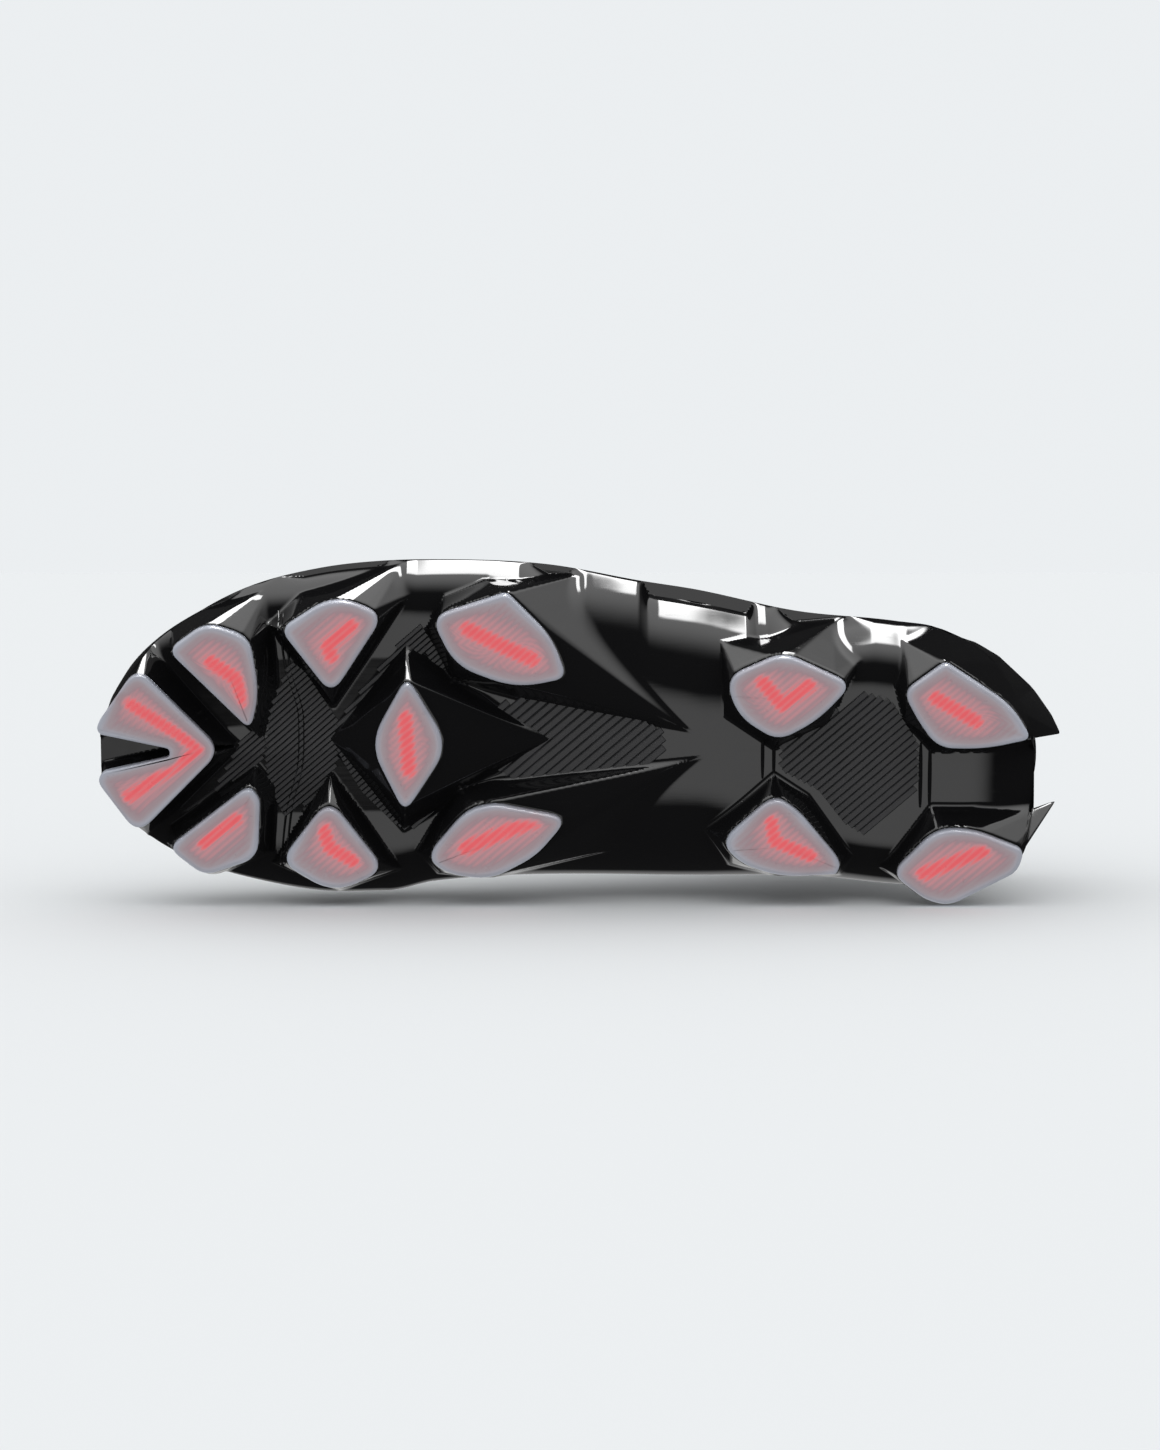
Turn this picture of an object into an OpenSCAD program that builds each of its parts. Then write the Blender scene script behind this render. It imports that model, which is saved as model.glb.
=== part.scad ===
// Football boot with a moulded stud plate: a slip-on knit upper on a glossy plate
// whose twelve stud towers carry translucent tips over coloured cores.
// Frame: +X to the toe, +Y to the outer (lateral) side of this left boot, +Z up.
// The stud tips stand on z = 0, and the origin is under the middle of the bounding box.

/* [Overall size] */
// Length of the boot, toe stud to heel fins
boot_length = 292; // [230:1:350]
// Width of the sole plate at the ball of the foot
boot_width = 104; // [84:1:126]
// Height of the collar's front edge above the inside of the sole
collar_rise = 90; // [74:1:108]

/* [Sole] */
// Height of the studs under the plate
stud_height = 11; // [8.5:0.5:14]
// Thickness of the sole plate
plate_thickness = 3; // [2:0.1:4]
// Height of the translucent stud tips
tip_height = 3.6; // [2.8:0.1:4.4]
// Thickness of the tip under the coloured core
tip_floor = 1.2; // [0.8:0.1:1.5]
// Width of the tip's wall around the coloured core
tip_wall = 4; // [3:0.1:4.8]
// Gap between a core and the pocket it sits in
core_gap = 0.1; // [0.05:0.05:0.2]
// Height of the ribs on a core
rib_height = 0.7; // [0.4:0.1:0.9]

/* [Upper] */
// Thickness of the upper's skin
skin_thickness = 1.4; // [1:0.1:1.8]
// Thickness of the bootie lining
lining_thickness = 0.9; // [0.6:0.1:1.2]
// Thickness of the toe and heel stiffeners between skin and lining
stiffener_thickness = 1; // [0.8:0.1:1.3]
// Thickness of the padding at the ankle
padding_thickness = 3.2; // [2.6:0.1:4]
// Height of the grip fins over the skin
fin_height = 0.9; // [0.6:0.1:1.2]
// Number of grip fins on each side
fin_count = 7; // [5:1:9]
// Gap between pieces that lie on each other
layer_gap = 0.3; // [0.25:0.05:0.4]

/* [Footbed] */
// Thickness of the lasting board
board_thickness = 1.3; // [1:0.1:1.6]
// Thickness of the stiffening shank
shank_thickness = 1; // [0.8:0.1:1.2]
// Thickness of the sockliner's foam
foam_thickness = 3.6; // [3:0.1:4.4]
// Thickness of the sockliner's cloth cover
cover_thickness = 0.7; // [0.5:0.1:0.9]

/* [Pull tabs] */
// Thickness of the webbing of both tabs
webbing_thickness = 1.2; // [1:0.1:1.5]
// Width of the heel pull loop
heel_loop_width = 14; // [11:0.5:17]
// Height of the heel pull loop
heel_loop_height = 22; // [18:0.5:27]
// Gap between the two plies of the heel pull loop
heel_loop_gap = 2.4; // [2:0.1:3]
// Width of the front pull tab
front_tab_width = 18; // [15:0.5:22]
// Length of the front pull tab
front_tab_length = 20; // [16:0.5:24]

/* [Hidden] */
design_length = 292;
design_width = 104;
design_rise = 90;
sx = boot_length / design_length;
sy = boot_width / design_width;
sz = collar_rise / design_rise;
sole_z = stud_height;
inside_z = stud_height + plate_thickness;

function size_xy(p) = [p.x * sx, p.y * sy];
function mix(a, b, t) = a + (b - a) * t;
function sgn_pow(v, e) = sign(v) * pow(abs(v), e);

// Sections of the foot form, toe to collar. Each lies in the plane through its
// bottom and top points: bottom x, z, top x, z, half width, centre y at the bottom
// and at the top, height share of the widest line, bottom and top squareness.
sections = [
  [143.4, 11.5, 143.4, 13.5,  0.8,  -2.0,  -2.0, 0.45, 2.0, 2.0],
  [142.4,  8.0, 142.4, 18.5,  8.5,  -2.0,  -2.0, 0.42, 2.0, 2.0],
  [140.0,  5.0, 140.0, 24.0, 14.0,  -2.0,  -2.5, 0.40, 2.2, 2.1],
  [135.0,  2.5, 135.0, 29.5, 21.5,  -2.0,  -3.0, 0.38, 2.5, 2.2],
  [127.0,  1.0, 127.0, 33.5, 29.0,  -2.0,  -3.5, 0.36, 2.8, 2.2],
  [115.0,  0.0, 115.0, 37.0, 36.3,  -2.0,  -4.0, 0.34, 3.0, 2.1],
  [100.0,  0.0, 100.0, 40.0, 42.3,  -1.8,  -4.5, 0.32, 3.2, 2.0],
  [ 80.0,  0.0,  80.0, 44.0, 46.0,  -0.5,  -5.0, 0.30, 3.2, 1.95],
  [ 60.0,  0.0,  60.0, 49.0, 47.4,   0.5,  -5.0, 0.30, 3.2, 1.9],
  [ 45.0,  0.0,  45.0, 53.5, 46.6,   1.2,  -5.0, 0.30, 3.2, 1.85],
  [ 25.0,  0.5,  25.0, 61.0, 44.0,   1.2,  -5.0, 0.30, 3.0, 1.8],
  [  3.0,  2.0,   5.0, 70.0, 41.5,   0.3,  -5.5, 0.30, 3.0, 1.8],
  [-22.0,  3.5, -10.0, 77.5, 40.6,  -2.2,  -6.0, 0.32, 2.9, 1.8],
  [-50.0,  4.0, -20.0, 80.5, 39.6,  -5.0,  -6.5, 0.35, 2.8, 1.85],
  [-80.0,  2.5, -27.0, 82.5, 36.8,  -8.5,  -7.5, 0.38, 2.8, 1.9],
  [-105.0, 1.5, -32.0, 84.0, 34.5, -11.5,  -8.5, 0.40, 2.8, 1.95],
  [-125.0, 3.0, -34.0, 85.5, 32.5, -12.5,  -9.5, 0.42, 2.7, 2.0],
  [-135.5, 10.0, -35.5, 86.5, 31.5, -13.0, -10.0, 0.44, 2.5, 2.0],
  [-139.0, 22.0, -36.5, 87.3, 31.0, -13.0, -10.5, 0.46, 2.3, 2.0],
  [-138.5, 36.0, -37.3, 88.0, 30.5, -13.0, -11.0, 0.48, 2.2, 2.0],
  [-135.5, 50.0, -38.2, 88.8, 30.0, -13.0, -11.5, 0.50, 2.1, 2.0],
  [-132.0, 63.0, -39.0, 89.5, 29.5, -13.0, -12.0, 0.50, 2.1, 2.0],
  [-130.5, 76.0, -40.0, 90.5, 29.5, -13.0, -12.0, 0.50, 2.0, 2.0]
];
last_section = len(sections) - 1;

function spline(p0, p1, p2, p3, t) =
  0.5 * (2 * p1 + (p2 - p0) * t + (2 * p0 - 5 * p1 + 4 * p2 - p3) * t * t
    + (3 * p1 - p0 - 3 * p2 + p3) * t * t * t);

function section_at(u) =
  let (i = min(floor(u), last_section - 1),
       a = sections[max(i - 1, 0)], b = sections[i],
       c = sections[i + 1], d = sections[min(i + 2, last_section)])
  [for (k = [0 : 9]) spline(a[k], b[k], c[k], d[k], u - i)];

// A half size with an offset, which never shrinks it past a fifth, as at the toe's tip
function grown(half, d) = max(half + d, half / 5);

// How much of an offset pushes a section along X, so that the toe thickens too
function toe_push(u) = u >= 6 ? 0 : pow(1 - u / 6, 1.5);

// A point of the foot form, d outside it, at section u and angle a round it:
// 0 is the outer side, 90 the top, 180 the inner side and 270 the bottom
function form_point(u, a, d) =
  let (s = section_at(u),
       low = [s[0] * sx + d * toe_push(u), s[1] * sz],
       high = [s[2] * sx + d * toe_push(u), s[3] * sz],
       long = norm(high - low), up = (high - low) / long,
       power = 2 / (sin(a) < 0 ? s[8] : s[9]),
       semi = grown((sin(a) < 0 ? s[7] : 1 - s[7]) * long, d),
       along = s[7] * long + semi * sgn_pow(sin(a), power),
       centre = mix(s[5], s[6], min(max(along / long, 0), 1)) * sy,
       at = low + up * along)
  [at.x, centre + grown(s[4] * sy, d) * sgn_pow(cos(a), power), inside_z + at.y];

// A closed shell over sections u0 to u1 between offsets d0 and d1.
// edge is a list of [u, first angle, last angle]: it sets the two long edges.
function edge_angle(u, t, edge) =
  let (a0 = lookup(u, [for (e = edge) [e[0], e[1]]]),
       a1 = lookup(u, [for (e = edge) [e[0], e[2]]]))
  mix(a0, a1, t);

// swell says how far each of the two offsets follows the padding's bulge.
module shell(u0, u1, nu, edge, na, d0, d1, swell = [0, 0]) {
  row = na + 1;
  layer = (nu + 1) * row;
  function at(k, i, j) = k * layer + i * row + j;
  offsets = [d0, d1];
  points = [for (k = [0, 1]) for (i = [0 : nu]) for (j = [0 : na])
    let (u = mix(u0, u1, i / nu))
    form_point(u, edge_angle(u, j / na, edge), offsets[k] - swell[k] * pad_bulge(u))];
  skins = [for (k = [0, 1]) for (i = [0 : nu - 1]) for (j = [0 : na - 1])
    let (q = [at(k, i, j), at(k, i, j + 1), at(k, i + 1, j + 1), at(k, i + 1, j)])
    for (f = [[q[0], q[1], q[2]], [q[0], q[2], q[3]]]) k == 1 ? f : [f[2], f[1], f[0]]];
  ends = [for (i = [0, nu]) for (j = [0 : na - 1])
    let (q = [at(0, i, j), at(0, i, j + 1), at(1, i, j + 1), at(1, i, j)])
    for (f = [[q[0], q[1], q[2]], [q[0], q[2], q[3]]]) i == 0 ? f : [f[2], f[1], f[0]]];
  sides = [for (j = [0, na]) for (i = [0 : nu - 1])
    let (q = [at(0, i, j), at(1, i, j), at(1, i + 1, j), at(0, i + 1, j)])
    for (f = [[q[0], q[1], q[2]], [q[0], q[2], q[3]]]) j == 0 ? f : [f[2], f[1], f[0]]];
  polyhedron(points = points, faces = concat(skins, ends, sides), convexity = 8);
}

// A closed tube of full rings over sections u0 to u1 between offsets d0 and d1
module sleeve(u0, u1, nu, na, d0, d1, swell = [0, 0]) {
  layer = (nu + 1) * na;
  function at(k, i, j) = k * layer + i * na + j % na;
  offsets = [d0, d1];
  points = [for (k = [0, 1]) for (i = [0 : nu]) for (j = [0 : na - 1])
    let (u = mix(u0, u1, i / nu))
    form_point(u, 360 * j / na, offsets[k] - swell[k] * pad_bulge(u))];
  skins = [for (k = [0, 1]) for (i = [0 : nu - 1]) for (j = [0 : na - 1])
    let (q = [at(k, i, j), at(k, i, j + 1), at(k, i + 1, j + 1), at(k, i + 1, j)])
    for (f = [[q[0], q[1], q[2]], [q[0], q[2], q[3]]]) k == 1 ? f : [f[2], f[1], f[0]]];
  ends = [for (i = [0, nu]) for (j = [0 : na - 1])
    let (q = [at(0, i, j), at(0, i, j + 1), at(1, i, j + 1), at(1, i, j)])
    for (f = [[q[0], q[1], q[2]], [q[0], q[2], q[3]]]) i == 0 ? f : [f[2], f[1], f[0]]];
  polyhedron(points = points, faces = concat(skins, ends), convexity = 8);
}

// The whole inside of the form at offset d, as one solid
module form_solid(u1, nu, na, d) {
  points = [for (i = [0 : nu]) for (j = [0 : na - 1])
    form_point(mix(0, u1, i / nu), 360 * j / na, d)];
  skins = [for (i = [0 : nu - 1]) for (j = [0 : na - 1])
    let (k = (j + 1) % na, a = i * na, b = a + na)
    for (f = [[a + j, a + k, b + k], [a + j, b + k, b + j]]) f];
  toe = [for (j = [na - 1 : -1 : 0]) j];
  top = [for (j = [0 : na - 1]) nu * na + j];
  polyhedron(points = points, faces = concat(skins, [toe], [top]), convexity = 8);
}

// Studs. Each has a name, the corners of its tip as [x, y, how far back the corner's
// round starts], and the points [x, y, z over the sole] that its tower runs out to.
studs = [
  ["toe",
    [[146, 3.9, 3], [133.5, 21.9, 6], [108.5, -3.6, 6], [134, -29.6, 6], [146, -13.1, 3],
     [144, -10.1, 1], [124, -5.6, 1.2], [124, -3.1, 1.2], [145, 1.4, 1]],
    []],
  ["fore_lateral_1",
    [[124, 27.4, 4], [112.5, 35.9, 5], [99.5, 31.4, 5], [96.8, 14.4, 6], [99.5, 2.9, 4]],
    [[97, 41.9, 12], [118, 32.4, 9], [95.5, -1.6, 0.5]]],
  ["fore_lateral_2",
    [[90.3, 33.8, 4], [74.1, 44.4, 8], [59.1, 38.2, 6], [75, 13.6, 6]],
    [[54, 52.3, 14], [86, 44.4, 10], [74.5, -0.6, 0.5]]],
  ["fore_lateral_3",
    [[45.3, 37.5, 6], [22.5, 45, 2], [9, 31.3, 6], [4.5, 18.9, 4], [20, 15.8, 8], [38, 22.6, 7]],
    [[0, 44.9, 15], [31.5, 3.4, 0.5], [-12, 41.4, 14]]],
  ["fore_medial_1",
    [[124.8, -33.3, 4], [100.2, -14, 4], [96.9, -18.4, 2], [97.8, -36.4, 5], [114, -42, 4]],
    [[97, -47.1, 10], [116, -41.1, 8], [96, -8.6, 0.5]]],
  ["fore_medial_2",
    [[91.2, -37.6, 6], [76.2, -18.1, 7], [59.4, -40.1, 6], [75, -47.6, 8]],
    [[54, -49.9, 12], [86, -49.1, 10], [74.5, -9.6, 0.5]]],
  ["fore_medial_3",
    [[47.1, -36.1, 5], [34.8, -21.5, 6], [26.4, -19.6, 3], [3.9, -24, 3], [13.8, -35.8, 5],
     [27.6, -43.2, 6], [40.8, -41.4, 5]],
    [[0, -46.1, 14], [31.5, -10.1, 0.5], [-12, -45.1, 14]]],
  ["fore_center",
    [[52.5, 19.5, 5], [63.9, -1.3, 8], [53.4, -22.7, 5], [39.9, -1.9, 8]],
    [[73, -2.6, 0.5], [12, -3.6, 0.5], [51.5, 23.9, 0.5], [53, -29.1, 0.5]]],
  ["heel_lateral_1",
    [[-42.9, 18.9, 6], [-60.3, 26.7, 5], [-81, 17, 5], [-70.8, 5.9, 7], [-58.8, -0.4, 5],
     [-46.8, 7.1, 6]],
    [[-76, 27.9, 24], [-58, 32.4, 16]]],
  ["heel_lateral_2",
    [[-96.3, 14.6, 4], [-108.9, 23.9, 2], [-129, 10.5, 7], [-135, 0.3, 3], [-120.9, -2.8, 7],
     [-106.8, -2.5, 5], [-100.8, 5.9, 4]],
    [[-111, 25, 30], [-97, 25.4, 20], [-136, 2.4, 11]]],
  ["heel_medial_1",
    [[-41.7, -31.4, 6], [-57.9, -16.8, 6], [-65.4, -22.1, 3], [-78.3, -37.6, 5], [-76.8, -41.4, 1],
     [-60, -42.3, 7], [-48, -38.3, 5]],
    [[-76, -48.1, 22], [-58, -47.1, 16]]],
  ["heel_medial_2",
    [[-93.3, -41.4, 5], [-106.8, -27.4, 6], [-117.9, -27.7, 5], [-133.5, -33.9, 3],
     [-131.4, -40.7, 3], [-111, -50.9, 4], [-103.8, -49.4, 3]],
    [[-109, -51.3, 28], [-97, -50.6, 20], [-135, -30.6, 11]]]
];
stud_names = [for (s = studs) s[0]];

// Ground clearance of each stud: toe spring lifts the toe stud
toe_spring = 2;
function tip_z(name) = name == "toe" ? toe_spring : 0;

// One corner as a quadratic curve, from its two straight sides
tip_steps = 4;
tower_steps = 2;
function corner_curve(p, q, r, back, steps) =
  let (a = q + (p - q) * min(back / norm(p - q), 0.5),
       b = q + (r - q) * min(back / norm(r - q), 0.5))
  [for (k = [0 : steps]) let (t = k / steps)
    a * (1 - t) * (1 - t) + q * 2 * t * (1 - t) + b * t * t];

function rounded(corners, steps) =
  let (n = len(corners))
  [for (i = [0 : n - 1])
    let (p = corners[(i + n - 1) % n], q = corners[i], r = corners[(i + 1) % n])
    each corner_curve(size_xy(p), size_xy(q), size_xy(r), q[2] * min(sx, sy), steps)];

module tip_outline(s) polygon(rounded(s[1], tip_steps));

module core_outline(s, grow) offset(delta = grow - tip_wall) tip_outline(s);

module stud_tip(s) {
  z = tip_z(s[0]);
  color("lavender") difference() {
    translate([0, 0, z]) linear_extrude(tip_height) tip_outline(s);
    translate([0, 0, z + tip_floor]) linear_extrude(tip_height) core_outline(s, 0);
  }
}

// The coloured core: a plate in the tip's pocket with slanting ribs that face the ground
rib_pitch = 2.4;
rib_width = 1.1;
rib_angle = 142;
module slanting_bars(pitch, width) {
  reach = boot_length;
  for (k = [-60 : 60])
    rotate(rib_angle) translate([-reach, k * pitch - width / 2]) square([2 * reach, width]);
}

module stud_core(s) {
  z = tip_z(s[0]) + tip_floor + core_gap;
  high = tip_height - tip_floor - core_gap;
  color("tomato") union() {
    translate([0, 0, z + rib_height]) linear_extrude(high - rib_height) core_outline(s, -core_gap);
    translate([0, 0, z]) linear_extrude(rib_height + 0.2) intersection() {
      core_outline(s, -core_gap);
      slanting_bars(rib_pitch, rib_width);
    }
  }
}

// A tower spreads from its tip to the plate and runs out to its ridge points
base_spread = 2.2;
slice = 0.05;
module speck(p) translate([p.x * sx, p.y * sy, sole_z + p.z * sz]) cube(0.4, center = true);

module tower(s, outline) {
  hull() {
    translate([0, 0, tip_z(s[0]) + tip_height]) linear_extrude(slice) polygon(outline);
    translate([0, 0, sole_z + 0.5]) linear_extrude(slice) offset(delta = base_spread) polygon(outline);
    for (p = s[2]) speck(p);
  }
}

// The toe stud is a chevron, so its tower is two arms round the notch
module toe_tower(s) {
  c = s[1];
  for (arm = [[c[8], c[0], c[1], c[2], c[7]], [c[6], c[2], c[3], c[4], c[5]]])
    hull() {
      translate([0, 0, tip_z("toe") + tip_height]) linear_extrude(slice) polygon(rounded(arm, tower_steps));
      translate([0, 0, sole_z + 4]) linear_extrude(slice)
        translate([-2.5 * sx, 0]) polygon(rounded(arm, tower_steps));
    }
}

// Heel fins: pointed ends of the plate's side walls, either side of the heel channel
heel_centre = -14.1;
fin_points = [[-145.5, 10.4, 9.5], [-128, 21, 1], [-134, 12, 1], [-127, 26, 28], [-134, 20, 27],
              [-120, 24, 4], [-137, 8.5, 12]];
module heel_fin(side)
  hull() for (p = fin_points)
    translate([p[0] * sx, (heel_centre + side * p[1]) * sy, sole_z + p[2] * sz])
      cube(0.6, center = true);

// How far the plate wraps up the sides, as [section, first angle, last angle]
plate_edge = [
  [0, 220, 320], [2, 208, 332], [4, 190, 350], [6, 183, 357], [8, 183, 357], [11, 195, 345],
  [12, 202, 338], [13, 206, 334], [15, 196, 344], [16, 201, 339], [17, 210, 330], [18, 246, 294]
];
plate_sections = 18;

// Clearance of the plate's inside over the form, for the last and the cement
plate_fit = 0.2;
module outsole_plate()
  color([0.06, 0.06, 0.06]) union() {
    shell(0.4, plate_sections, 28, plate_edge, 22, plate_fit, plate_thickness);
    difference() {
      union() {
        toe_tower(studs[0]);
        for (k = [1 : len(studs) - 1]) tower(studs[k], rounded(studs[k][1], tower_steps));
        heel_fin(1);
        heel_fin(-1);
      }
      form_solid(plate_sections + 3, 28, 28, plate_thickness / 2);
    }
  }

// Layers of the upper and footbed, as offsets from the form, from outside in
skin_out = -layer_gap;
skin_in = skin_out - skin_thickness;
stiff_out = skin_in - layer_gap;
stiff_in = stiff_out - stiffener_thickness;
board_in = stiff_out - board_thickness;
lining_out = min(stiff_in, board_in) - layer_gap;
lining_in = lining_out - lining_thickness;
foam_out = lining_in - 3 * layer_gap;
foam_in = foam_out - foam_thickness;
cover_out = foam_in - layer_gap / 2;
cover_in = cover_out - cover_thickness;

// How far the ankle padding pushes the lining in, at section u
pad_start = 19.8;
function pad_bulge(u) =
  let (t = min(max((u - pad_start + 1.2) / 1.2, 0), 1))
  (padding_thickness - (skin_in - lining_out) + 2 * layer_gap) * t * t * (3 - 2 * t);

// Panels of the upper: the vamp round the forefoot, a quarter each side behind it,
// a stretch gusset between the quarters' top edges and a knit cuff round the ankle
vamp_end = 9;
quarter_end = 19.5;
panel_gap = 0.03;
gusset_angle = 18;
module upper_vamp()
  color([0.1, 0.1, 0.11])
    shell(0, vamp_end - panel_gap, 20, [[0, -30, 210], [6, -45, 225], [9, -45, 225]], 24,
      skin_in, skin_out);

module quarter(first, last)
  shell(vamp_end + panel_gap, quarter_end, 22,
    [[vamp_end, first[0], last[0]], [12.5, first[1], last[1]], [16, first[2], last[2]],
     [quarter_end, first[3], last[3]]], 14, skin_in, skin_out);

quarter_top = [90 - gusset_angle, 90 - gusset_angle, 90 - gusset_angle, 90 - gusset_angle];
quarter_foot = [-45, -48, -66, -89.5];
module upper_quarter_lateral() color([0.12, 0.12, 0.13]) quarter(quarter_foot, quarter_top);
module upper_quarter_medial()
  color([0.12, 0.12, 0.13]) quarter([for (a = quarter_top) 180 - a], [for (a = quarter_foot) 180 - a]);

module throat_gusset()
  color([0.18, 0.18, 0.19])
    shell(vamp_end + panel_gap, quarter_end, 18,
      [[vamp_end, 90.6 - gusset_angle, 89.4 + gusset_angle]], 6, skin_in, skin_out);

module collar_cuff()
  color([0.16, 0.16, 0.17])
    sleeve(quarter_end + panel_gap, last_section, 6, 36, skin_in, skin_out);

binding_sections = 0.28;
module collar_binding()
  color([0.2, 0.2, 0.2])
    sleeve(last_section - binding_sections, last_section, 1, 36, layer_gap, layer_gap + 0.8);

module bootie_lining()
  color([0.3, 0.3, 0.32])
    sleeve(1, last_section - 0.3, 24, 32, lining_in, lining_out, swell = [1, 1]);

module toe_puff()
  color([0.75, 0.72, 0.66]) shell(1, 5, 8, [[0, -14, 194]], 14, stiff_in, stiff_out);

counter_start = 15.6;
module heel_counter()
  color([0.75, 0.72, 0.66])
    shell(counter_start, 19.2, 10, [[15, 200, 340], [17, 190, 350], [20, 190, 350]], 18,
      stiff_in, stiff_out);

// Padding at the ankle, one pad each side of the heel, between cuff and lining
module collar_pad(first, last)
  shell(pad_start, last_section - 0.6, 5, [[0, first, last]], 8,
    lining_out + layer_gap, skin_in - layer_gap, swell = [1, 0]);
module collar_pad_lateral() color("dimgray") collar_pad(-80, -20);
module collar_pad_medial() color("dimgray") collar_pad(200, 260);

// Glossy film over the toe, its lower edge just above the plate's rim
module toe_guard()
  color([0.05, 0.05, 0.05])
    shell(0.5, 4.4, 8, [[0, -34, 214], [2, -22, 202], [4, -2, 182]], 16, layer_gap, layer_gap + 0.55);

module heel_seam_tape()
  color([0.08, 0.08, 0.08])
    shell(18.3, 20.9, 6, [[18, 262, 278], [21, 264, 276]], 4, layer_gap, layer_gap + 0.65);

// Slanting grip fins on each side of the forefoot, a group of separate solids
fin_start = 5.2;
fin_pitch = 0.86;
fin_width = 0.3;
module grip_fins()
  color([0.05, 0.05, 0.05])
    for (side = [0, 1]) for (k = [0 : fin_count - 1])
      let (u = fin_start + k * fin_pitch * 7 / fin_count, low = 20 - k, high = 58 - 2 * k)
        shell(u, u + fin_width, 1, [side == 0 ? [0, low, high] : [0, 180 - high, 180 - low]], 6,
          -layer_gap / 4, fin_height);

// Footbed layers follow the form's bottom, between two angles either side of 270
module bottom_layer(u0, u1, nu, spread, na, d_in, d_out)
  shell(u0, u1, nu, [[0, 270 - spread, 270 + spread]], na, d_in, d_out);

module lasting_board()
  color("burlywood")
    bottom_layer(2.2, counter_start - 0.15, 16, 50, 12, board_in, stiff_out);

module shank()
  color("silver")
    bottom_layer(9.6, 15, 10, 5, 3, skin_out - shank_thickness, skin_out);

// The sockliner stops short of where the heel starts to curve up
sockliner_end = 15.8;
module sockliner_foam()
  color("dimgray") bottom_layer(2.4, sockliner_end, 16, 44, 12, foam_in, foam_out);

module sockliner_cover()
  color("darkslategray") bottom_layer(2.4, sockliner_end, 16, 44, 12, cover_in, cover_out);

// Pull tabs. The heel loop stands behind the collar's back edge, the front tab before
// its front edge, and each swings about the line where it is sewn on.
collar_back = [sections[last_section][0] * sx, inside_z + sections[last_section][1] * sz];
collar_front = [sections[last_section][2] * sx, inside_z + sections[last_section][3] * sz];
binding_out = layer_gap + 0.8;
tab_clearance = 0.45;
heel_loop_depth = 2 * webbing_thickness + heel_loop_gap;
heel_loop_sunk = 9;
loop_y = sections[last_section][5] * sy;
front_tab_y = sections[last_section][6] * sy;

module heel_pull_loop()
  color("gray")
    translate([collar_back.x - binding_out - tab_clearance - heel_loop_depth,
               loop_y + heel_loop_width / 2, collar_back.y - heel_loop_sunk])
      rotate([90, 0, 0]) linear_extrude(heel_loop_width) difference() {
        union() {
          square([heel_loop_depth, heel_loop_height - heel_loop_depth / 2]);
          translate([heel_loop_depth / 2, heel_loop_height - heel_loop_depth / 2])
            circle(d = heel_loop_depth, $fn = 32);
        }
        translate([webbing_thickness, 4])
          square([heel_loop_gap, heel_loop_height - 4 - heel_loop_depth / 2]);
        translate([heel_loop_depth / 2, heel_loop_height - heel_loop_depth / 2])
          circle(d = heel_loop_gap, $fn = 32);
      }

front_tab_sunk = 2;
module front_pull_tab()
  color("gray")
    translate([collar_front.x + binding_out + tab_clearance, front_tab_y - front_tab_width / 2,
               collar_front.y - front_tab_sunk])
      rotate([90, 0, 90]) linear_extrude(webbing_thickness)
        union() {
          square([front_tab_width, front_tab_length - 5]);
          translate([5, front_tab_length - 5]) circle(5, $fn = 32);
          translate([front_tab_width - 5, front_tab_length - 5]) circle(5, $fn = 32);
          translate([5, 0]) square([front_tab_width - 10, front_tab_length]);
        }

outsole_plate();
for (s = studs) {
  stud_tip(s);
  stud_core(s);
}
lasting_board();
shank();
sockliner_foam();
sockliner_cover();
upper_vamp();
upper_quarter_lateral();
upper_quarter_medial();
throat_gusset();
collar_cuff();
collar_binding();
bootie_lining();
toe_puff();
heel_counter();
collar_pad_lateral();
collar_pad_medial();
toe_guard();
heel_seam_tape();
grip_fins();
heel_pull_loop();
front_pull_tab();
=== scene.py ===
"""A football boot for firm ground: the finished look of every piece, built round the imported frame.

The frame is in metres, +X to the toe, +Y to the outer side of this left boot, +Z up.
Shapes are worked out below in millimetres and scaled once, in Build.object.
"""
import math

import bmesh
import bpy
import numpy as np
from mathutils import Matrix, Vector


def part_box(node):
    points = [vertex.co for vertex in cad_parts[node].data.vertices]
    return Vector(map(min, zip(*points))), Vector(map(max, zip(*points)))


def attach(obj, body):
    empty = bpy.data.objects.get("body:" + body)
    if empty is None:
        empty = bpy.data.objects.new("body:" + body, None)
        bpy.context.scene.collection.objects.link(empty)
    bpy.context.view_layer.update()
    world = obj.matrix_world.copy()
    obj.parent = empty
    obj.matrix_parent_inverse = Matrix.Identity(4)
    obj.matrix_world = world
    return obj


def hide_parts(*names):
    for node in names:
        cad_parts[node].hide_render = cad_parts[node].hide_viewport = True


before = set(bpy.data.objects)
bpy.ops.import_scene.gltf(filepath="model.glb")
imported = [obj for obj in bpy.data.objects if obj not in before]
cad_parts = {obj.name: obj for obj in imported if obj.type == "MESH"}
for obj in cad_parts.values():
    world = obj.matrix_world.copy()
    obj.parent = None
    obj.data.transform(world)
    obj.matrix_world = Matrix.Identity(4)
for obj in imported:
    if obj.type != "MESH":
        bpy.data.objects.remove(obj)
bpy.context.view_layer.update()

MM = 0.001
BODY = "boot"

# Heights shared by the plate, the studs and the upper, in millimetres
SOLE_Z = 11.0
INSIDE_Z = 14.0
TIP_HEIGHT = 3.6
TOE_SPRING = 2.0


# ---------------------------------------------------------------- small helpers
def smooth(t):
    """0 below 0, 1 above 1, and an S-curve between."""
    t = np.clip(t, 0.0, 1.0)
    return t * t * (3 - 2 * t)


def smooth_min(a, b, k):
    """The lower of a and b, eased over a height k where they cross."""
    h = np.clip(0.5 + 0.5 * (b - a) / k, 0.0, 1.0)
    return b * (1 - h) + a * h - k * h * (1 - h)


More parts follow.
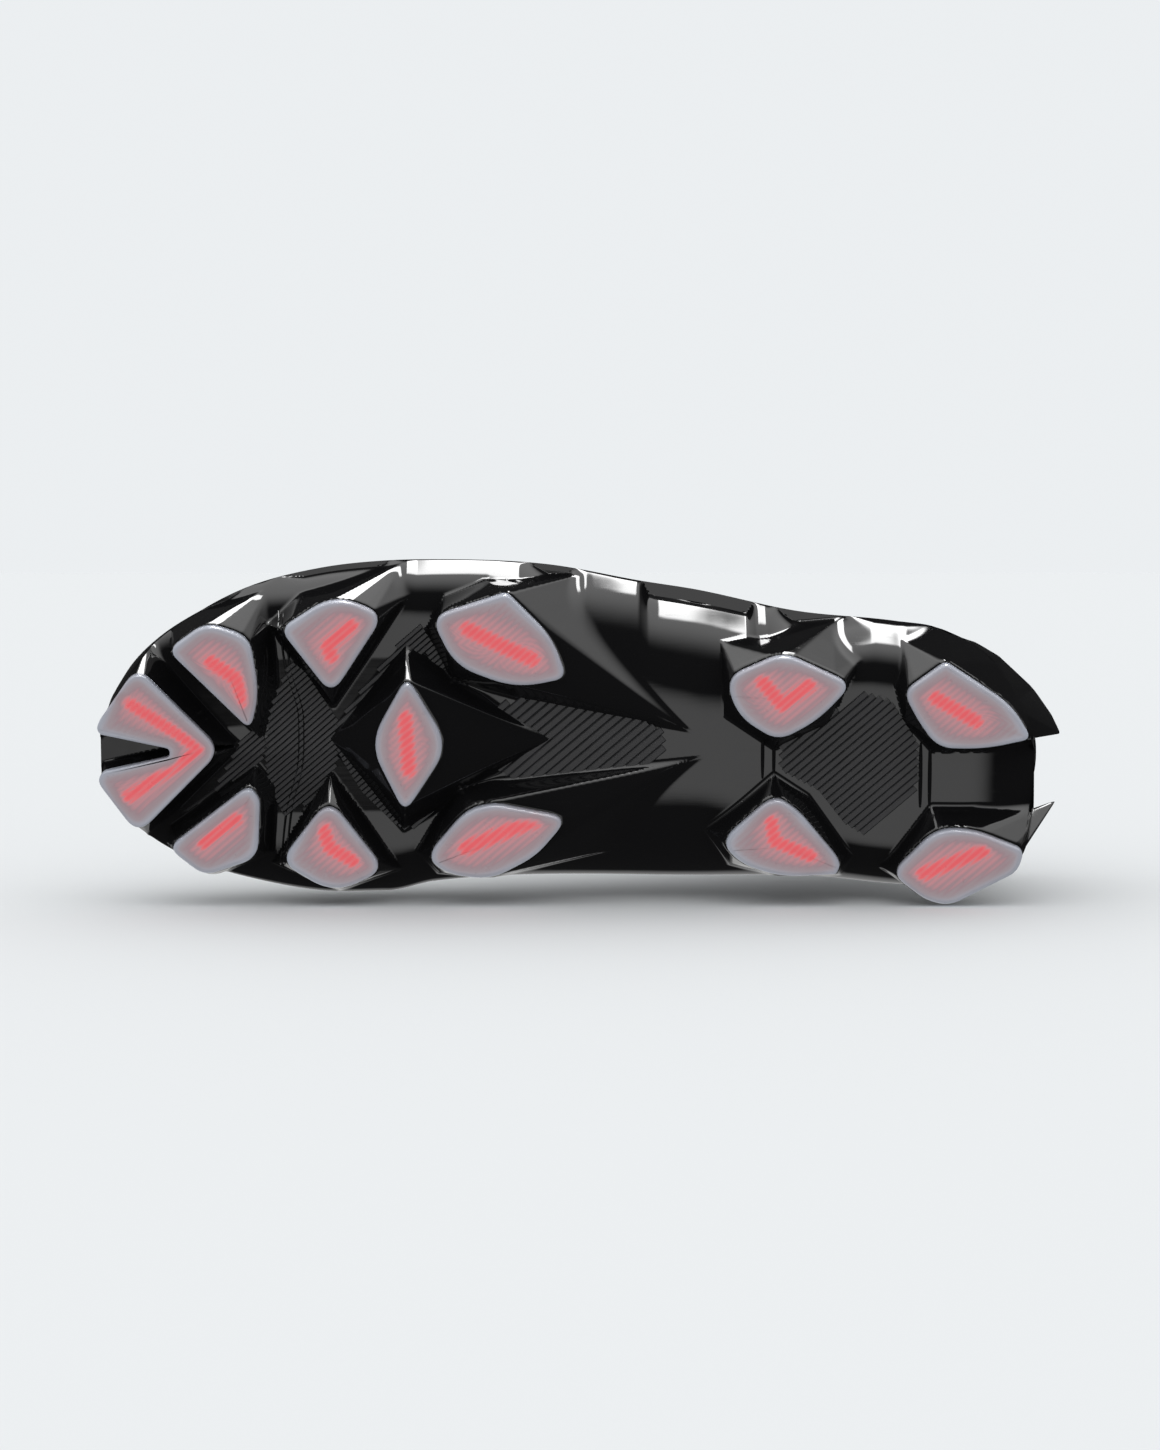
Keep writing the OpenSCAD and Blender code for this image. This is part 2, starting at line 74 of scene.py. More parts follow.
def run_along(points):
    """Distance from the first point to each point along a line of points."""
    return np.concatenate([[0], np.cumsum(np.linalg.norm(np.diff(points, axis=0), axis=1))])


def curve_through(points, x):
    """Smooth interpolation of [x, value...] rows at x, with no overshoot between rows."""
    table = np.array(sorted(points), float)
    xs = table[:, 0]
    out = []
    for column in table[:, 1:].T:
        slope = np.diff(column) / np.diff(xs)
        tangent = np.concatenate([[slope[0]], (slope[1:] + slope[:-1]) / 2, [slope[-1]]])
        flat = np.concatenate([[False], slope[1:] * slope[:-1] <= 0, [False]])
        tangent[flat] = 0
        i = np.clip(np.searchsorted(xs, x) - 1, 0, len(xs) - 2)
        width = xs[i + 1] - xs[i]
        t = np.clip((x - xs[i]) / width, 0, 1)
        t2, t3 = t * t, t * t * t
        out.append((2 * t3 - 3 * t2 + 1) * column[i] + (t3 - 2 * t2 + t) * width * tangent[i]
                   + (3 * t2 - 2 * t3) * column[i + 1] + (t3 - t2) * width * tangent[i + 1])
    return out[0] if len(out) == 1 else out


def grid_faces(rows, cols, flip=False):
    """Quads over rows of points, each row's last point joined to its first."""
    i = np.arange(rows - 1)[:, None]
    j = np.arange(cols)[None, :]
    k = (j + 1) % cols
    quads = np.stack([i * cols + j, i * cols + k, (i + 1) * cols + k, (i + 1) * cols + j], -1)
    quads = quads.reshape(-1, 4)
    return quads[:, ::-1] if flip else quads


class Build:
    """Gathers vertices (mm) and faces for one object."""

    def __init__(self):
        self.verts, self.faces, self.values, self.count = [], [], [], 0

    def add(self, verts, faces, value=0.0):
        self.faces += [tuple(int(v) + self.count for v in f) for f in faces]
        self.verts.append(np.asarray(verts, float).reshape(-1, 3))
        self.values.append(np.broadcast_to(value, len(self.verts[-1])))
        self.count += len(self.verts[-1])

    def grid(self, points, flip=False, value=0.0):
        """Rings of points, one to a row, joined into an open tube."""
        self.add(points, grid_faces(*points.shape[:2], flip), value)

    def caps(self, cols, rows, flip=False):
        """Closes both ends of the tube that was added last."""
        near = tuple(range(self.count - rows * cols, self.count - (rows - 1) * cols))
        far = tuple(range(self.count - cols, self.count))
        self.faces += [near, far[::-1]] if flip else [near[::-1], far]

    def tube(self, points, flip=False):
        """Rings of points joined into a tube with closed ends."""
        self.grid(points)
        self.caps(points.shape[1], points.shape[0], flip)

    def hoop(self, points):
        """Rings of points joined into a tube whose last ring meets its first."""
        rows, cols = points.shape[:2]
        i = np.arange(cols)
        ahead, last = (i + 1) % cols, (rows - 1) * cols
        seam = np.stack([last + i, last + ahead, ahead, i], -1)
        self.add(points, np.concatenate([grid_faces(rows, cols), seam]))

    def object(self, name, material, angle, attribute=None):
        """The finished object, with edges sharper than angle degrees shaded as creases."""
        mesh = bpy.data.meshes.new(name)
        mesh.from_pydata((np.concatenate(self.verts) * MM).tolist(), [], self.faces)
        if attribute:
            layer = mesh.attributes.new(attribute, "FLOAT", "POINT")
            layer.data.foreach_set("value", np.concatenate(self.values).astype(np.float32))
        mesh.validate()
        obj = bpy.data.objects.new(name, mesh)
        bpy.context.scene.collection.objects.link(obj)
        mesh.materials.append(material)
        mesh.polygons.foreach_set("use_smooth", [True] * len(mesh.polygons))
        mesh.set_sharp_from_angle(angle=math.radians(angle))
        return obj


def face_outward(obj, fill=False):
    """Turns every face of obj outward, after filling its holes if fill is set."""
    mesh = bmesh.new()
    mesh.from_mesh(obj.data)
    if fill:
        bmesh.ops.holes_fill(mesh, edges=mesh.edges)
    bmesh.ops.recalc_face_normals(mesh, faces=mesh.faces)
    mesh.to_mesh(obj.data)
    mesh.free()


def place(obj, body, slot, *nodes):
    """Rides obj on a CAD body and hides the CAD nodes that it stands for; slot is not used."""
    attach(obj, body)
    if nodes:
        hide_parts(*nodes)
    return obj


# ---------------------------------------------------------------- materials
def add_node(tree, kind, **values):
    """A shader node with its settings and unlinked inputs set."""
    node = tree.nodes.new(kind)
    for key, value in values.items():
        if hasattr(node, key):
            setattr(node, key, value)
        else:
            node.inputs[key.replace("_", " ")].default_value = value
    return node


class Shader:
    """A Principled material with short calls for its node links."""

    def __init__(self, name, colour, roughness, **constants):
        self.material = bpy.data.materials.new(name)
        self.material.use_nodes = True
        self.tree = self.material.node_tree
        self.surface = self.tree.nodes["Principled BSDF"]
        self.surface.inputs["Base Color"].default_value = (*colour, 1)
        self.surface.inputs["Roughness"].default_value = roughness
        for key, value in constants.items():
            self.surface.inputs[key.replace("_", " ")].default_value = value

    def node(self, kind, **values):
        return add_node(self.tree, kind, **values)

    def link(self, source, target, name):
        self.tree.links.new(source, target.inputs[name])

    def coords(self, scale=(1, 1, 1), rotation=(0, 0, 0)):
        mapping = self.node("ShaderNodeMapping", Scale=scale, Rotation=rotation)
        self.link(self.node("ShaderNodeTexCoord").outputs["Object"], mapping, "Vector")
        return mapping.outputs["Vector"]

    def noise(self, scale, detail=3.0, roughness=0.5, coords=None):
        node = self.node("ShaderNodeTexNoise", Scale=scale, Detail=detail, Roughness=roughness)
        self.link(coords or self.coords(), node, "Vector")
        return node.outputs["Fac"]

    def ramp(self, source, stops):
        node = self.node("ShaderNodeValToRGB")
        elements = node.color_ramp.elements
        while len(elements) < len(stops):
            elements.new(0.5)
        for element, (position, colour) in zip(elements, stops):
            element.position = position
            element.color = (*colour, 1)
        self.link(source, node, "Fac")
        return node.outputs["Color"]

    def grey_ramp(self, source, low, high, start=0.0, end=1.0):
        return self.ramp(source, [(start, (low,) * 3), (end, (high,) * 3)])

    def mix(self, factor, a, b, blend="MIX"):
        node = self.node("ShaderNodeMix", data_type="RGBA", blend_type=blend)
        for value, index in ((factor, 0), (a, 6), (b, 7)):
            if isinstance(value, (int, float)):
                node.inputs[index].default_value = value
            elif isinstance(value, tuple):
                node.inputs[index].default_value = (*value, 1)
            else:
                self.tree.links.new(value, node.inputs[index])
        return node.outputs[2]

    def bump(self, height, strength, distance, under=None):
        node = self.node("ShaderNodeBump", Strength=strength, Distance=distance)
        self.link(height, node, "Height")
        if under is not None:
            self.link(under, node, "Normal")
        return node.outputs["Normal"]

    def set(self, **sources):
        for key, source in sources.items():
            self.link(source, self.surface, key.replace("_", " "))
        return self.material


def gloss_black(name, colour=(0.006, 0.006, 0.0065), roughness=0.055):
    """Polished moulded plastic: faint flow waviness, fine scratches and dust-dulled patches."""
    shader = Shader(name, colour, roughness)
    patches = shader.noise(38.0, 4.0, 0.6)
    scratches = shader.noise(900.0, 2.0, 0.5, shader.coords(scale=(0.08, 1, 1), rotation=(0, 0, 0.6)))
    fine = shader.grey_ramp(scratches, 0.0, 1.0, 0.60, 0.72)
    rough = shader.mix(0.5, shader.grey_ramp(patches, roughness * 0.6, roughness * 1.9, 0.35, 0.7),
                       shader.mix(fine, (roughness,) * 3, (roughness * 3.0,) * 3))
    waves = shader.bump(shader.noise(55.0, 2.0, 0.4), 0.05, 0.002)
    return shader.set(Roughness=rough, Normal=shader.bump(scratches, 0.012, 0.0004, waves))


def stud_milk(name):
    """Milky translucent tip: cool edge, pink where the core shows, red glow in slanting bars.

    The mesh attribute "core" holds how strongly the core shows through at each point."""
    shader = Shader(name, (0.6, 0.58, 0.66), 0.32, Coat_Weight=0.25, Coat_Roughness=0.25)
    core = shader.node("ShaderNodeAttribute", attribute_name="core")
    glow = shader.ramp(core.outputs["Fac"], [
        (0.0, (0.42, 0.45, 0.52)), (0.12, (0.39, 0.32, 0.35)), (0.32, (0.39, 0.26, 0.29)),
        (0.54, (0.64, 0.28, 0.31)), (0.78, (0.94, 0.18, 0.20)), (1.0, (1.0, 0.11, 0.13))])
    cloud = shader.noise(160.0, 3.0, 0.5)
    tint = shader.mix(0.25, glow, shader.grey_ramp(cloud, 0.35, 0.75), "OVERLAY")
    return shader.set(Base_Color=tint,
                      Roughness=shader.grey_ramp(cloud, 0.26, 0.4, 0.3, 0.7),
                      Normal=shader.bump(shader.noise(1400.0, 2.0, 0.5), 0.05, 0.0003))


def knit(name, colour, cell=0.9, relief=0.25, roughness=0.75):
    """Fine knit: rows of loops at cell millimetres with painted light on their raised middles and painted
    shade in the gaps round them, yarn noise and a faint sheen.

    The mesh attribute "cloth" holds each point's place along and across the sheet."""
    shader = Shader(name, colour, roughness, Sheen_Weight=0.35, Sheen_Roughness=0.5)
    cloth = shader.node("ShaderNodeAttribute", attribute_name="cloth")
    loops = shader.node("ShaderNodeTexVoronoi", voronoi_dimensions="2D", Scale=1.0 / cell, Randomness=0.45)
    shader.link(cloth.outputs["Vector"], loops, "Vector")
    yarn = shader.noise(2600.0, 3.0, 0.6)
    patches = shader.noise(60.0, 3.0, 0.5)
    # Painted shade for the recessed gaps between the loops, and painted light for their raised middles
    dark = tuple(c * 0.45 for c in colour)
    painted_loop_light = tuple(min(c * 1.9 + 0.004, 1) for c in colour)
    base = shader.mix(shader.grey_ramp(loops.outputs["Distance"], 0.0, 1.0, 0.05, 0.55), painted_loop_light, dark)
    tone = shader.mix(0.30, base, shader.grey_ramp(patches, 0.30, 0.72), "OVERLAY")
    fuzz = shader.bump(yarn, 0.25, 0.0002)
    return shader.set(Base_Color=tone, Roughness=shader.grey_ramp(yarn, roughness - 0.12, roughness + 0.15),
                      Normal=shader.bump(loops.outputs["Distance"], relief, -0.0006, fuzz))


def woven(name, colour, pitch=0.7):
    """Plain-woven tape: crossed waves of warp and weft, with painted light on the raised parts of the weave
    and painted shade in its hollows.
    """
    shader = Shader(name, colour, 0.7, Sheen_Weight=0.4)
    waves = []
    for turn in (0, math.pi / 2):
        wave = shader.node("ShaderNodeTexWave", Scale=1000.0 / pitch / 20, Distortion=0.6,
                           bands_direction="Y")
        shader.link(shader.coords(scale=(20, 20, 20), rotation=(turn, 0, 0)), wave, "Vector")
        waves.append(wave.outputs["Fac"])
    weave = shader.mix(1.0, waves[0], waves[1], "MULTIPLY")
    # Painted light on the raised parts of the weave and painted shade in its hollows
    tone = shader.mix(weave, tuple(c * 0.4 for c in colour), tuple(c * 2.0 for c in colour))
    fibre = shader.bump(shader.noise(3000.0, 2.0, 0.6), 0.2, 0.0002)
    return shader.set(Base_Color=tone, Roughness=shader.grey_ramp(weave, 0.82, 0.62),
                      Normal=shader.bump(weave, 0.4, 0.0003, fibre))


def grained(name, colour, roughness, scale=500.0, relief=0.1, spread=0.25, **constants):
    """Moulded or felted solid: speckle, cloudy tone and a fine surface grain."""
    shader = Shader(name, colour, roughness, **constants)
    grain = shader.noise(scale, 4.0, 0.6)
    cloud = shader.noise(scale / 12, 3.0, 0.5)
    low = tuple(c * (1 - spread) for c in colour)
    high = tuple(min(c * (1 + spread), 1) for c in colour)
    tone = shader.mix(shader.grey_ramp(cloud, 0.0, 1.0, 0.3, 0.7), low, high)
    tone = shader.mix(0.35, tone, shader.grey_ramp(grain, 0.35, 0.65), "OVERLAY")
    return shader.set(Base_Color=tone, Roughness=shader.grey_ramp(cloud, roughness - 0.06, roughness + 0.1),
                      Normal=shader.bump(grain, relief, 0.0004))


BLACK_GLOSS = gloss_black("plate_gloss_black")
RIB_SATIN = grained("plate_rib_satin", (0.030, 0.030, 0.032), 0.36, 1500.0, 0.08, 0.2)
STUD_MILK = stud_milk("stud_milk")
UPPER_KNIT = knit("upper_coated_knit", (0.012, 0.012, 0.013), 1.7, 0.22, 0.55)
STRETCH_KNIT = knit("stretch_rib_knit", (0.016, 0.016, 0.018), 1.3, 0.25, 0.85)
LINING_MESH = knit("lining_mesh", (0.075, 0.075, 0.085), 2.2, 0.3, 0.85)
COVER_KNIT = knit("sockliner_brushed_knit", (0.045, 0.045, 0.052), 1.2, 0.2, 0.9)
TAPE = woven("webbing_tape", (0.022, 0.022, 0.024))
BINDING_TAPE = woven("binding_tape", (0.014, 0.014, 0.015), 0.5)
FILM = gloss_black("film_gloss", (0.008, 0.008, 0.009), 0.16)
FIN_RUBBER = grained("fin_rubber", (0.014, 0.014, 0.015), 0.5, 900.0, 0.12)
FOAM = grained("foam_closed_cell", (0.10, 0.10, 0.11), 0.9, 1600.0, 0.35)
THREAD = woven("stitch_thread", (0.05, 0.05, 0.055), 0.3)
CORE_RED = grained("core_red", (0.85, 0.06, 0.07), 0.4, 700.0, 0.06, 0.12)
BOARD = grained("fibre_board", (0.40, 0.29, 0.17), 0.88, 1100.0, 0.25, 0.2)
SHANK_NYLON = grained("shank_nylon", (0.03, 0.03, 0.032), 0.45, 800.0, 0.1)
STIFFENER = grained("stiffener_sheet", (0.50, 0.46, 0.38), 0.62, 600.0, 0.12, 0.12)


# ---------------------------------------------------------------- studs, as in the CAD source
# name: corners [x, y, how far back the corner's round starts]; feet: where each corner's
# ridge runs out on the plate, [x, y, z]; core: the line along which the core shows most
FLOOR = SOLE_Z + 0.25
STUDS = {
    "toe": dict(
        corners=[[146, 3.9, 3], [133.5, 21.9, 6], [108.5, -3.6, 6], [134, -29.6, 6],
                 [146, -13.1, 3], [144, -10.1, 1], [124, -5.6, 1.2], [124, -3.1, 1.2], [145, 1.4, 1]],
        feet=[[145.7, 5.0, 14], [131, 27, 18], [103.5, -3.8, FLOOR], [132, -33, 17],
              [145.7, -14, 14], [144.6, -9.2, 14], [125.8, -4.9, 13.2], [125.8, -3.7, 13.2],
              [145.4, 0.6, 14]],
        core=[[138, 12.5], [114.6, -3.0], [137, -18]], width=3.6, centre=(116, -4)),
    "fore_lateral_1": dict(
        corners=[[124, 27.4, 4], [112.5, 35.9, 5], [99.5, 31.4, 5], [96.8, 14.4, 6], [99.5, 2.9, 4]],
        feet=[[123.5, 30.5, 18], [95, 43, 22], [93.3, 33, 15], [93, 14, FLOOR], [97, -1.5, FLOOR]],
        core=[[111, 24], [103.5, 19], [101, 12]], width=4.2),
    "fore_lateral_2": dict(
        corners=[[90.3, 33.8, 4], [74.1, 44.4, 8], [59.1, 38.2, 6], [75, 13.6, 6]],
        feet=[[86, 42, 20], [54, 50.3, 24], [51, 42, 18], [75, 8.5, FLOOR]],
        core=[[69, 35], [76, 29], [75, 26]], width=4.2),
    "fore_lateral_3": dict(
        corners=[[45.3, 37.5, 6], [22.5, 45, 2], [9, 31.3, 6], [4.5, 18.9, 4], [20, 15.8, 8],
                 [38, 22.6, 7]],
        feet=[[41, 42, 18], [0.5, 46, 26], [2, 31, 15], [-30, 2, 10.6], [20, 11.5, FLOOR],
              [39, 17, FLOOR]],
        core=[[34, 34], [24, 29], [15, 25]], width=4.6),
    "fore_medial_1": dict(
        corners=[[124.8, -33.3, 4], [100.2, -14, 4], [96.9, -18.4, 2], [97.8, -36.4, 5],
                 [114, -42, 4]],
        feet=[[126, -35.5, 17], [98.5, -10, FLOOR], [93.5, -17, FLOOR], [94, -37, 14],
              [112, -46, 18]],
        core=[[114, -31.5], [104, -24]], width=3.6),
    "fore_medial_2": dict(
        corners=[[91.2, -37.6, 6], [76.2, -18.1, 7], [59.4, -40.1, 6], [75, -47.6, 8]],
        feet=[[94, -41, 15], [76, -12.5, FLOOR], [55, -43, 15], [74, -50.5, 18]],
        core=[[78, -27], [76, -33], [69, -37]], width=4.0),
    "fore_medial_3": dict(
        corners=[[47.1, -36.1, 6], [34.8, -21.5, 6], [26.4, -19.6, 3], [3.9, -24, 6],
                 [13.8, -35.8, 5], [27.6, -43.2, 6], [40.8, -41.4, 5]],
        feet=[[50, -37, 14], [37, -16.5, FLOOR], [26, -15, FLOOR], [-30, -9, 9.8], [-5, -38, 15],
              [27, -47, 20], [44, -45, 18]],
        core=[[35, -33], [14, -24.5]], width=4.4),
    "fore_center": dict(
        corners=[[52.5, 19.5, 5], [63.9, -1.3, 8], [53.4, -22.7, 5], [39.9, -1.9, 8]],
        feet=[[53, 24.5, FLOOR], [76, -1.6, FLOOR], [54, -28, FLOOR], [10, -1.8, FLOOR]],
        core=[[53, 7], [52, -9]], width=4.2),
    "heel_lateral_1": dict(
        corners=[[-42.9, 18.9, 6], [-60.3, 26.7, 5], [-81, 17, 5], [-70.8, 5.9, 7], [-58.8, -0.4, 5],
                 [-46.8, 7.1, 6]],
        feet=[[-42, 27, 17], [-76, 31.5, 24], [-85, 23, 17], [-74, 3, FLOOR], [-58, -4.5, FLOOR],
              [-43, 5.5, FLOOR]],
        core=[[-54, 18], [-60, 11], [-68, 17]], width=4.2),
    "heel_lateral_2": dict(
        corners=[[-96.3, 14.6, 4], [-108.9, 23.9, 2], [-129, 10.5, 7], [-135, 0.3, 3],
                 [-120.9, -2.8, 7], [-106.8, -2.5, 5], [-100.8, 5.9, 4]],
        feet=[[-97, 27, 18], [-111, 30, 26], [-131, 19, 23], [-145.3, -1.6, 16],
              [-122, -5.2, FLOOR], [-106, -5.5, FLOOR], [-97.5, 4, FLOOR]],
        core=[[-106, 13], [-118, 6]], width=4.2),
    "heel_medial_1": dict(
        corners=[[-41.7, -31.4, 6], [-57.9, -16.8, 6], [-65.4, -22.1, 3], [-78.3, -37.6, 5],
                 [-76.8, -41.4, 1], [-60, -42.3, 7], [-48, -38.3, 5]],
        feet=[[-37, -30, 13], [-58, -12.5, FLOOR], [-68.5, -19.5, FLOOR], [-83, -38, 15],
              [-79, -46, 20], [-60, -46.5, 20], [-45, -42, 17]],
        core=[[-57, -25], [-58, -31], [-69, -35.5]], width=3.8),
    "heel_medial_2": dict(
        corners=[[-93.3, -41.4, 5], [-106.8, -27.4, 6], [-117.9, -27.7, 5], [-133.5, -33.9, 3],
                 [-131.4, -40.7, 3], [-111, -51.3, 4], [-103.8, -49.4, 3]],
        feet=[[-90, -42, 15], [-105.5, -22.5, FLOOR], [-119, -22.5, FLOOR], [-144.3, -22.5, 16],
              [-134, -40, 19], [-111, -51.2, 22], [-103, -51, 20]],
        core=[[-103, -41], [-121, -34]], width=4.2),
}


CORNER_STEPS = 9
EDGE_STEPS = 14
# A corner's round takes less than half of each side, so that no side shrinks to nothing
LONGEST_ROUND = 0.48


def tip_base(name):
    """Height of a tip's face over the ground: the toe stud stands a little higher."""
    return TOE_SPRING if name == "toe" else 0.0


def corner_round(p, q, r, back, steps):
    """The round at corner q between p and r, which starts back millimetres before it."""
    a = q + (p - q) * min(back / np.linalg.norm(p - q), LONGEST_ROUND)
    b = q + (r - q) * min(back / np.linalg.norm(r - q), LONGEST_ROUND)
    t = np.linspace(0, 1, steps)[:, None]
    return a * (1 - t) ** 2 + 2 * q * t * (1 - t) + b * t * t


def rounded_outline(points, backs):
    """A closed outline whose points stay in step as its corners move: for each corner its
    round, then the straight run to the next corner."""
    n = len(points)
    rounds = [corner_round(points[i - 1], points[i], points[(i + 1) % n], backs[i], CORNER_STEPS)
              for i in range(n)]
    out = []
    for i in range(n):
        out.append(rounds[i])
        start, end = rounds[i][-1], rounds[(i + 1) % n][0]
        t = np.linspace(0, 1, EDGE_STEPS + 2)[1:-1, None]
        out.append(start + (end - start) * t)
    return np.concatenate(out)


def outline_normals(points):
    """Outward unit normals of a closed counter-clockwise outline."""
    tangent = np.roll(points, -1, 0) - np.roll(points, 1, 0)
    tangent /= np.linalg.norm(tangent, axis=1)[:, None] + 1e-9
    return np.stack([tangent[:, 1], -tangent[:, 0]], 1)


def oriented(stud):
    """Corners, rounds and feet, turned counter-clockwise."""
    corners = np.array(stud["corners"], float)
    feet = np.array(stud["feet"], float)
    x, y = corners[:, 0], corners[:, 1]
    area = np.sum(x * np.roll(y, -1) - y * np.roll(x, -1))
    if area < 0:
        corners, feet = corners[::-1], feet[::-1]
    return corners[:, :2], corners[:, 2], feet


# ---------------------------------------------------------------- the plate's base surface
# Rim of the plate: x, then y and z of its outer edge and y and z of its inner edge
RIM = [
    [145.6, 1.5, 14, -14.0, 14], [144.0, 6.0, 15, -18.0, 15], [140.0, 12.5, 16, -25.0, 16],
    [130.0, 25.5, 19, -34.5, 18], [115.0, 36.0, 21, -42.5, 19], [100.0, 43.3, 22, -47.3, 20],
    [79.0, 48.6, 23, -51.3, 21], [60.0, 50.6, 24, -51.6, 22], [45.0, 51.0, 24, -48.5, 22],
    [11.0, 49.2, 26, -46.8, 24], [-17.0, 44.0, 27, -47.4, 26], [-35.0, 41.1, 27, -47.6, 26],
    [-65.0, 34.6, 27, -47.0, 24], [-95.0, 31.5, 27, -49.5, 23], [-111.0, 28.6, 26, -50.2, 22],
    [-126.0, 19.0, 22, -42.0, 20], [-134.0, 6.0, 19, -34.0, 18], [-137.0, -3.0, 17, -24.0, 17],
]
# Floor between the studs: x, height, centre line y, share of the half width that stays flat,
# steepness of the side wall
FLOOR_LINE = [
    [146.0, 13.2, -5.5, 0.3, 2.0], [125.0, 12.0, -4.0, 0.5, 2.6], [100.0, 11.2, -2.0, 0.6, 2.6],
    [60.0, 11.0, -1.0, 0.62, 2.6], [20.0, 11.2, -1.0, 0.5, 2.4], [-10.0, 11.0, -3.0, 0.2, 2.4],
    [-35.0, 10.4, -6.0, 0.1, 2.4], [-55.0, 10.8, -10.0, 0.2, 2.6], [-80.0, 11.0, -12.0, 0.45, 2.8],
    [-105.0, 11.0, -14.0, 0.5, 2.6], [-125.0, 11.4, -14.0, 0.55, 2.4], [-137.0, 14.0, -14.0, 0.5, 2.0],
]


# The forefoot floor falls away on both sides of its middle, by this slope and this much at most
KEEL_SLOPE = 0.13
KEEL_DEPTH = 2.6


def rim_at(x):
    """y and z of the plate's outer edge and of its inner edge."""
    return curve_through(RIM, x)


# Scoops in the outer wall: x, and how far the wall is set in there, as a share of its width
SCOOPS = [[146, 0.0], [120, 0.02], [108, 0.14], [96, 0.02], [84, 0.15], [62, 0.15], [53, 0.0],
          [50, 0.03], [19, 0.03], [8, 0.19], [-1, 0.02], [-3, 0.02], [-17, 0.0], [-20, 0.15], [-23, 0.16],
          [-50, 0.16], [-53, 0.03], [-56, 0.02], [-64, 0.16], [-74, 0.16], [-88, 0.0], [-98, 0.01],
          [-112, 0.1], [-138, 0.0]]


def base_height(x, y):
    """Height of the plate's underside without its studs."""
    y_out, z_out, y_in, z_in = rim_at(x)
    floor, centre, flat, power = curve_through(FLOOR_LINE, x)
    outer = y > centre
    half = np.where(outer, y_out - centre, centre - y_in)
    rim = np.where(outer, z_out, z_in)
    v = np.abs(y - centre) / half
    w = np.clip((v - flat) / (1 - flat), 0, 1)
    table = np.array(SCOOPS, float)[::-1]
    scoop = np.where(outer, np.interp(x, table[:, 0], table[:, 1]), 0)
    w = np.clip(w + scoop * w ** 2 * (1 - w ** 14), 0, 1)
    keel = KEEL_SLOPE * np.maximum(np.abs(y - centre) - 4, 0) * smooth((x - 14) / 30)
    floor = floor + np.minimum(keel, KEEL_DEPTH)
    crest = 1 - np.sqrt(1 - w ** 5)
    return floor + (rim - floor) * (0.60 * w ** power + 0.40 * crest)


# Ridge at the end of the outer wall's last scoop: x at the rim, lean, width, height
WALL_RIDGE = (-109.0, 3.0, 3.0, 1.2)
# How far under the tip's upper face the black tower closes round it, and its width round it
COLLAR_DROP = 0.35
COLLAR_SPREAD = 0.5
FLOOR_FILLET = 2.6


def convex_hull(points):
    """An open bmesh with the convex hull of points; the caller frees it."""
    mesh = bmesh.new()
    for point in points:
        mesh.verts.new(point)
    bmesh.ops.convex_hull(mesh, input=list(mesh.verts))
    return mesh


def lower_planes(points):
    """The planes a, b, c of z = ax + by + c on the underside of the points' convex hull."""
    mesh = convex_hull(points)
    mesh.normal_update()
    planes = set()
    for face in mesh.faces:
        n, p = face.normal, face.verts[0].co
        if n.z < -0.02:
            planes.add((round(-n.x / n.z, 5), round(-n.y / n.z, 5), round(n.dot(p) / n.z, 4)))
    mesh.free()
    return np.array(sorted(planes))


def tower_parts(name, stud):
    """The convex bodies that make up one tower: its tip's outline and its ridges' feet."""
    corners, backs, feet = oriented(stud)
    z = tip_base(name) + TIP_HEIGHT - COLLAR_DROP
    if name == "toe":
        c = np.array(stud["corners"], float)
        f = np.array(stud["feet"], float)
        arms = [[8, 0, 1, 2, 7], [6, 2, 3, 4, 5]]
        sets = [(c[a, :2][::-1], c[a, 2][::-1], f[a]) for a in arms]
    else:
        sets = [(corners, backs, feet)]
    for corner, back, foot in sets:
        outline = rounded_outline(corner, back)[::3]
        spread = outline + outline_normals(outline) * COLLAR_SPREAD
        yield np.vstack([np.column_stack([spread, np.full(len(spread), z)]), foot])


TOWERS = [(lower_planes(part), part[:, :2].min(0) - 14, part[:, :2].max(0) + 14)
          for name, stud in STUDS.items() for part in tower_parts(name, stud)]


def plate_height(x, y):
    """Height of the plate's underside: floor and walls, with every tower eased into it."""
    z = base_height(x, y)
    y_out = rim_at(x)[0]
    at, lean, width, rise = WALL_RIDGE
    depth = np.clip((y_out - y) / 14.0, 0, 1)
    line = at + lean * depth
    z = z - rise * np.exp(-((x - line) / width) ** 2) * (1 - smooth(depth)) * smooth(depth * 2.5)
    for planes, low, high in TOWERS:
        near = (x > low[0]) & (x < high[0]) & (y > low[1]) & (y < high[1])
        px, py = x[near], y[near]
        tower = np.max(planes[:, 0, None] * px + planes[:, 1, None] * py + planes[:, 2, None], axis=0)
        z[near] = smooth_min(tower, z[near], FLOOR_FILLET)
    return z


PLATE_ROWS = 620
UNDER_STEPS = 230
INSIDE_STEPS = 50
PLATE_WALL = 2.6


def across_plate(xs, v):
    """x and y for each of xs and v, with v -1 at the inner rim and 1 at the outer rim."""
    x, v = np.meshgrid(xs, v, indexing="ij")
    y_out, _, y_in, _ = rim_at(x)
    centre = curve_through(FLOOR_LINE, x)[1]
    return x, np.where(v > 0, centre + v * (y_out - centre), centre + v * (centre - y_in))


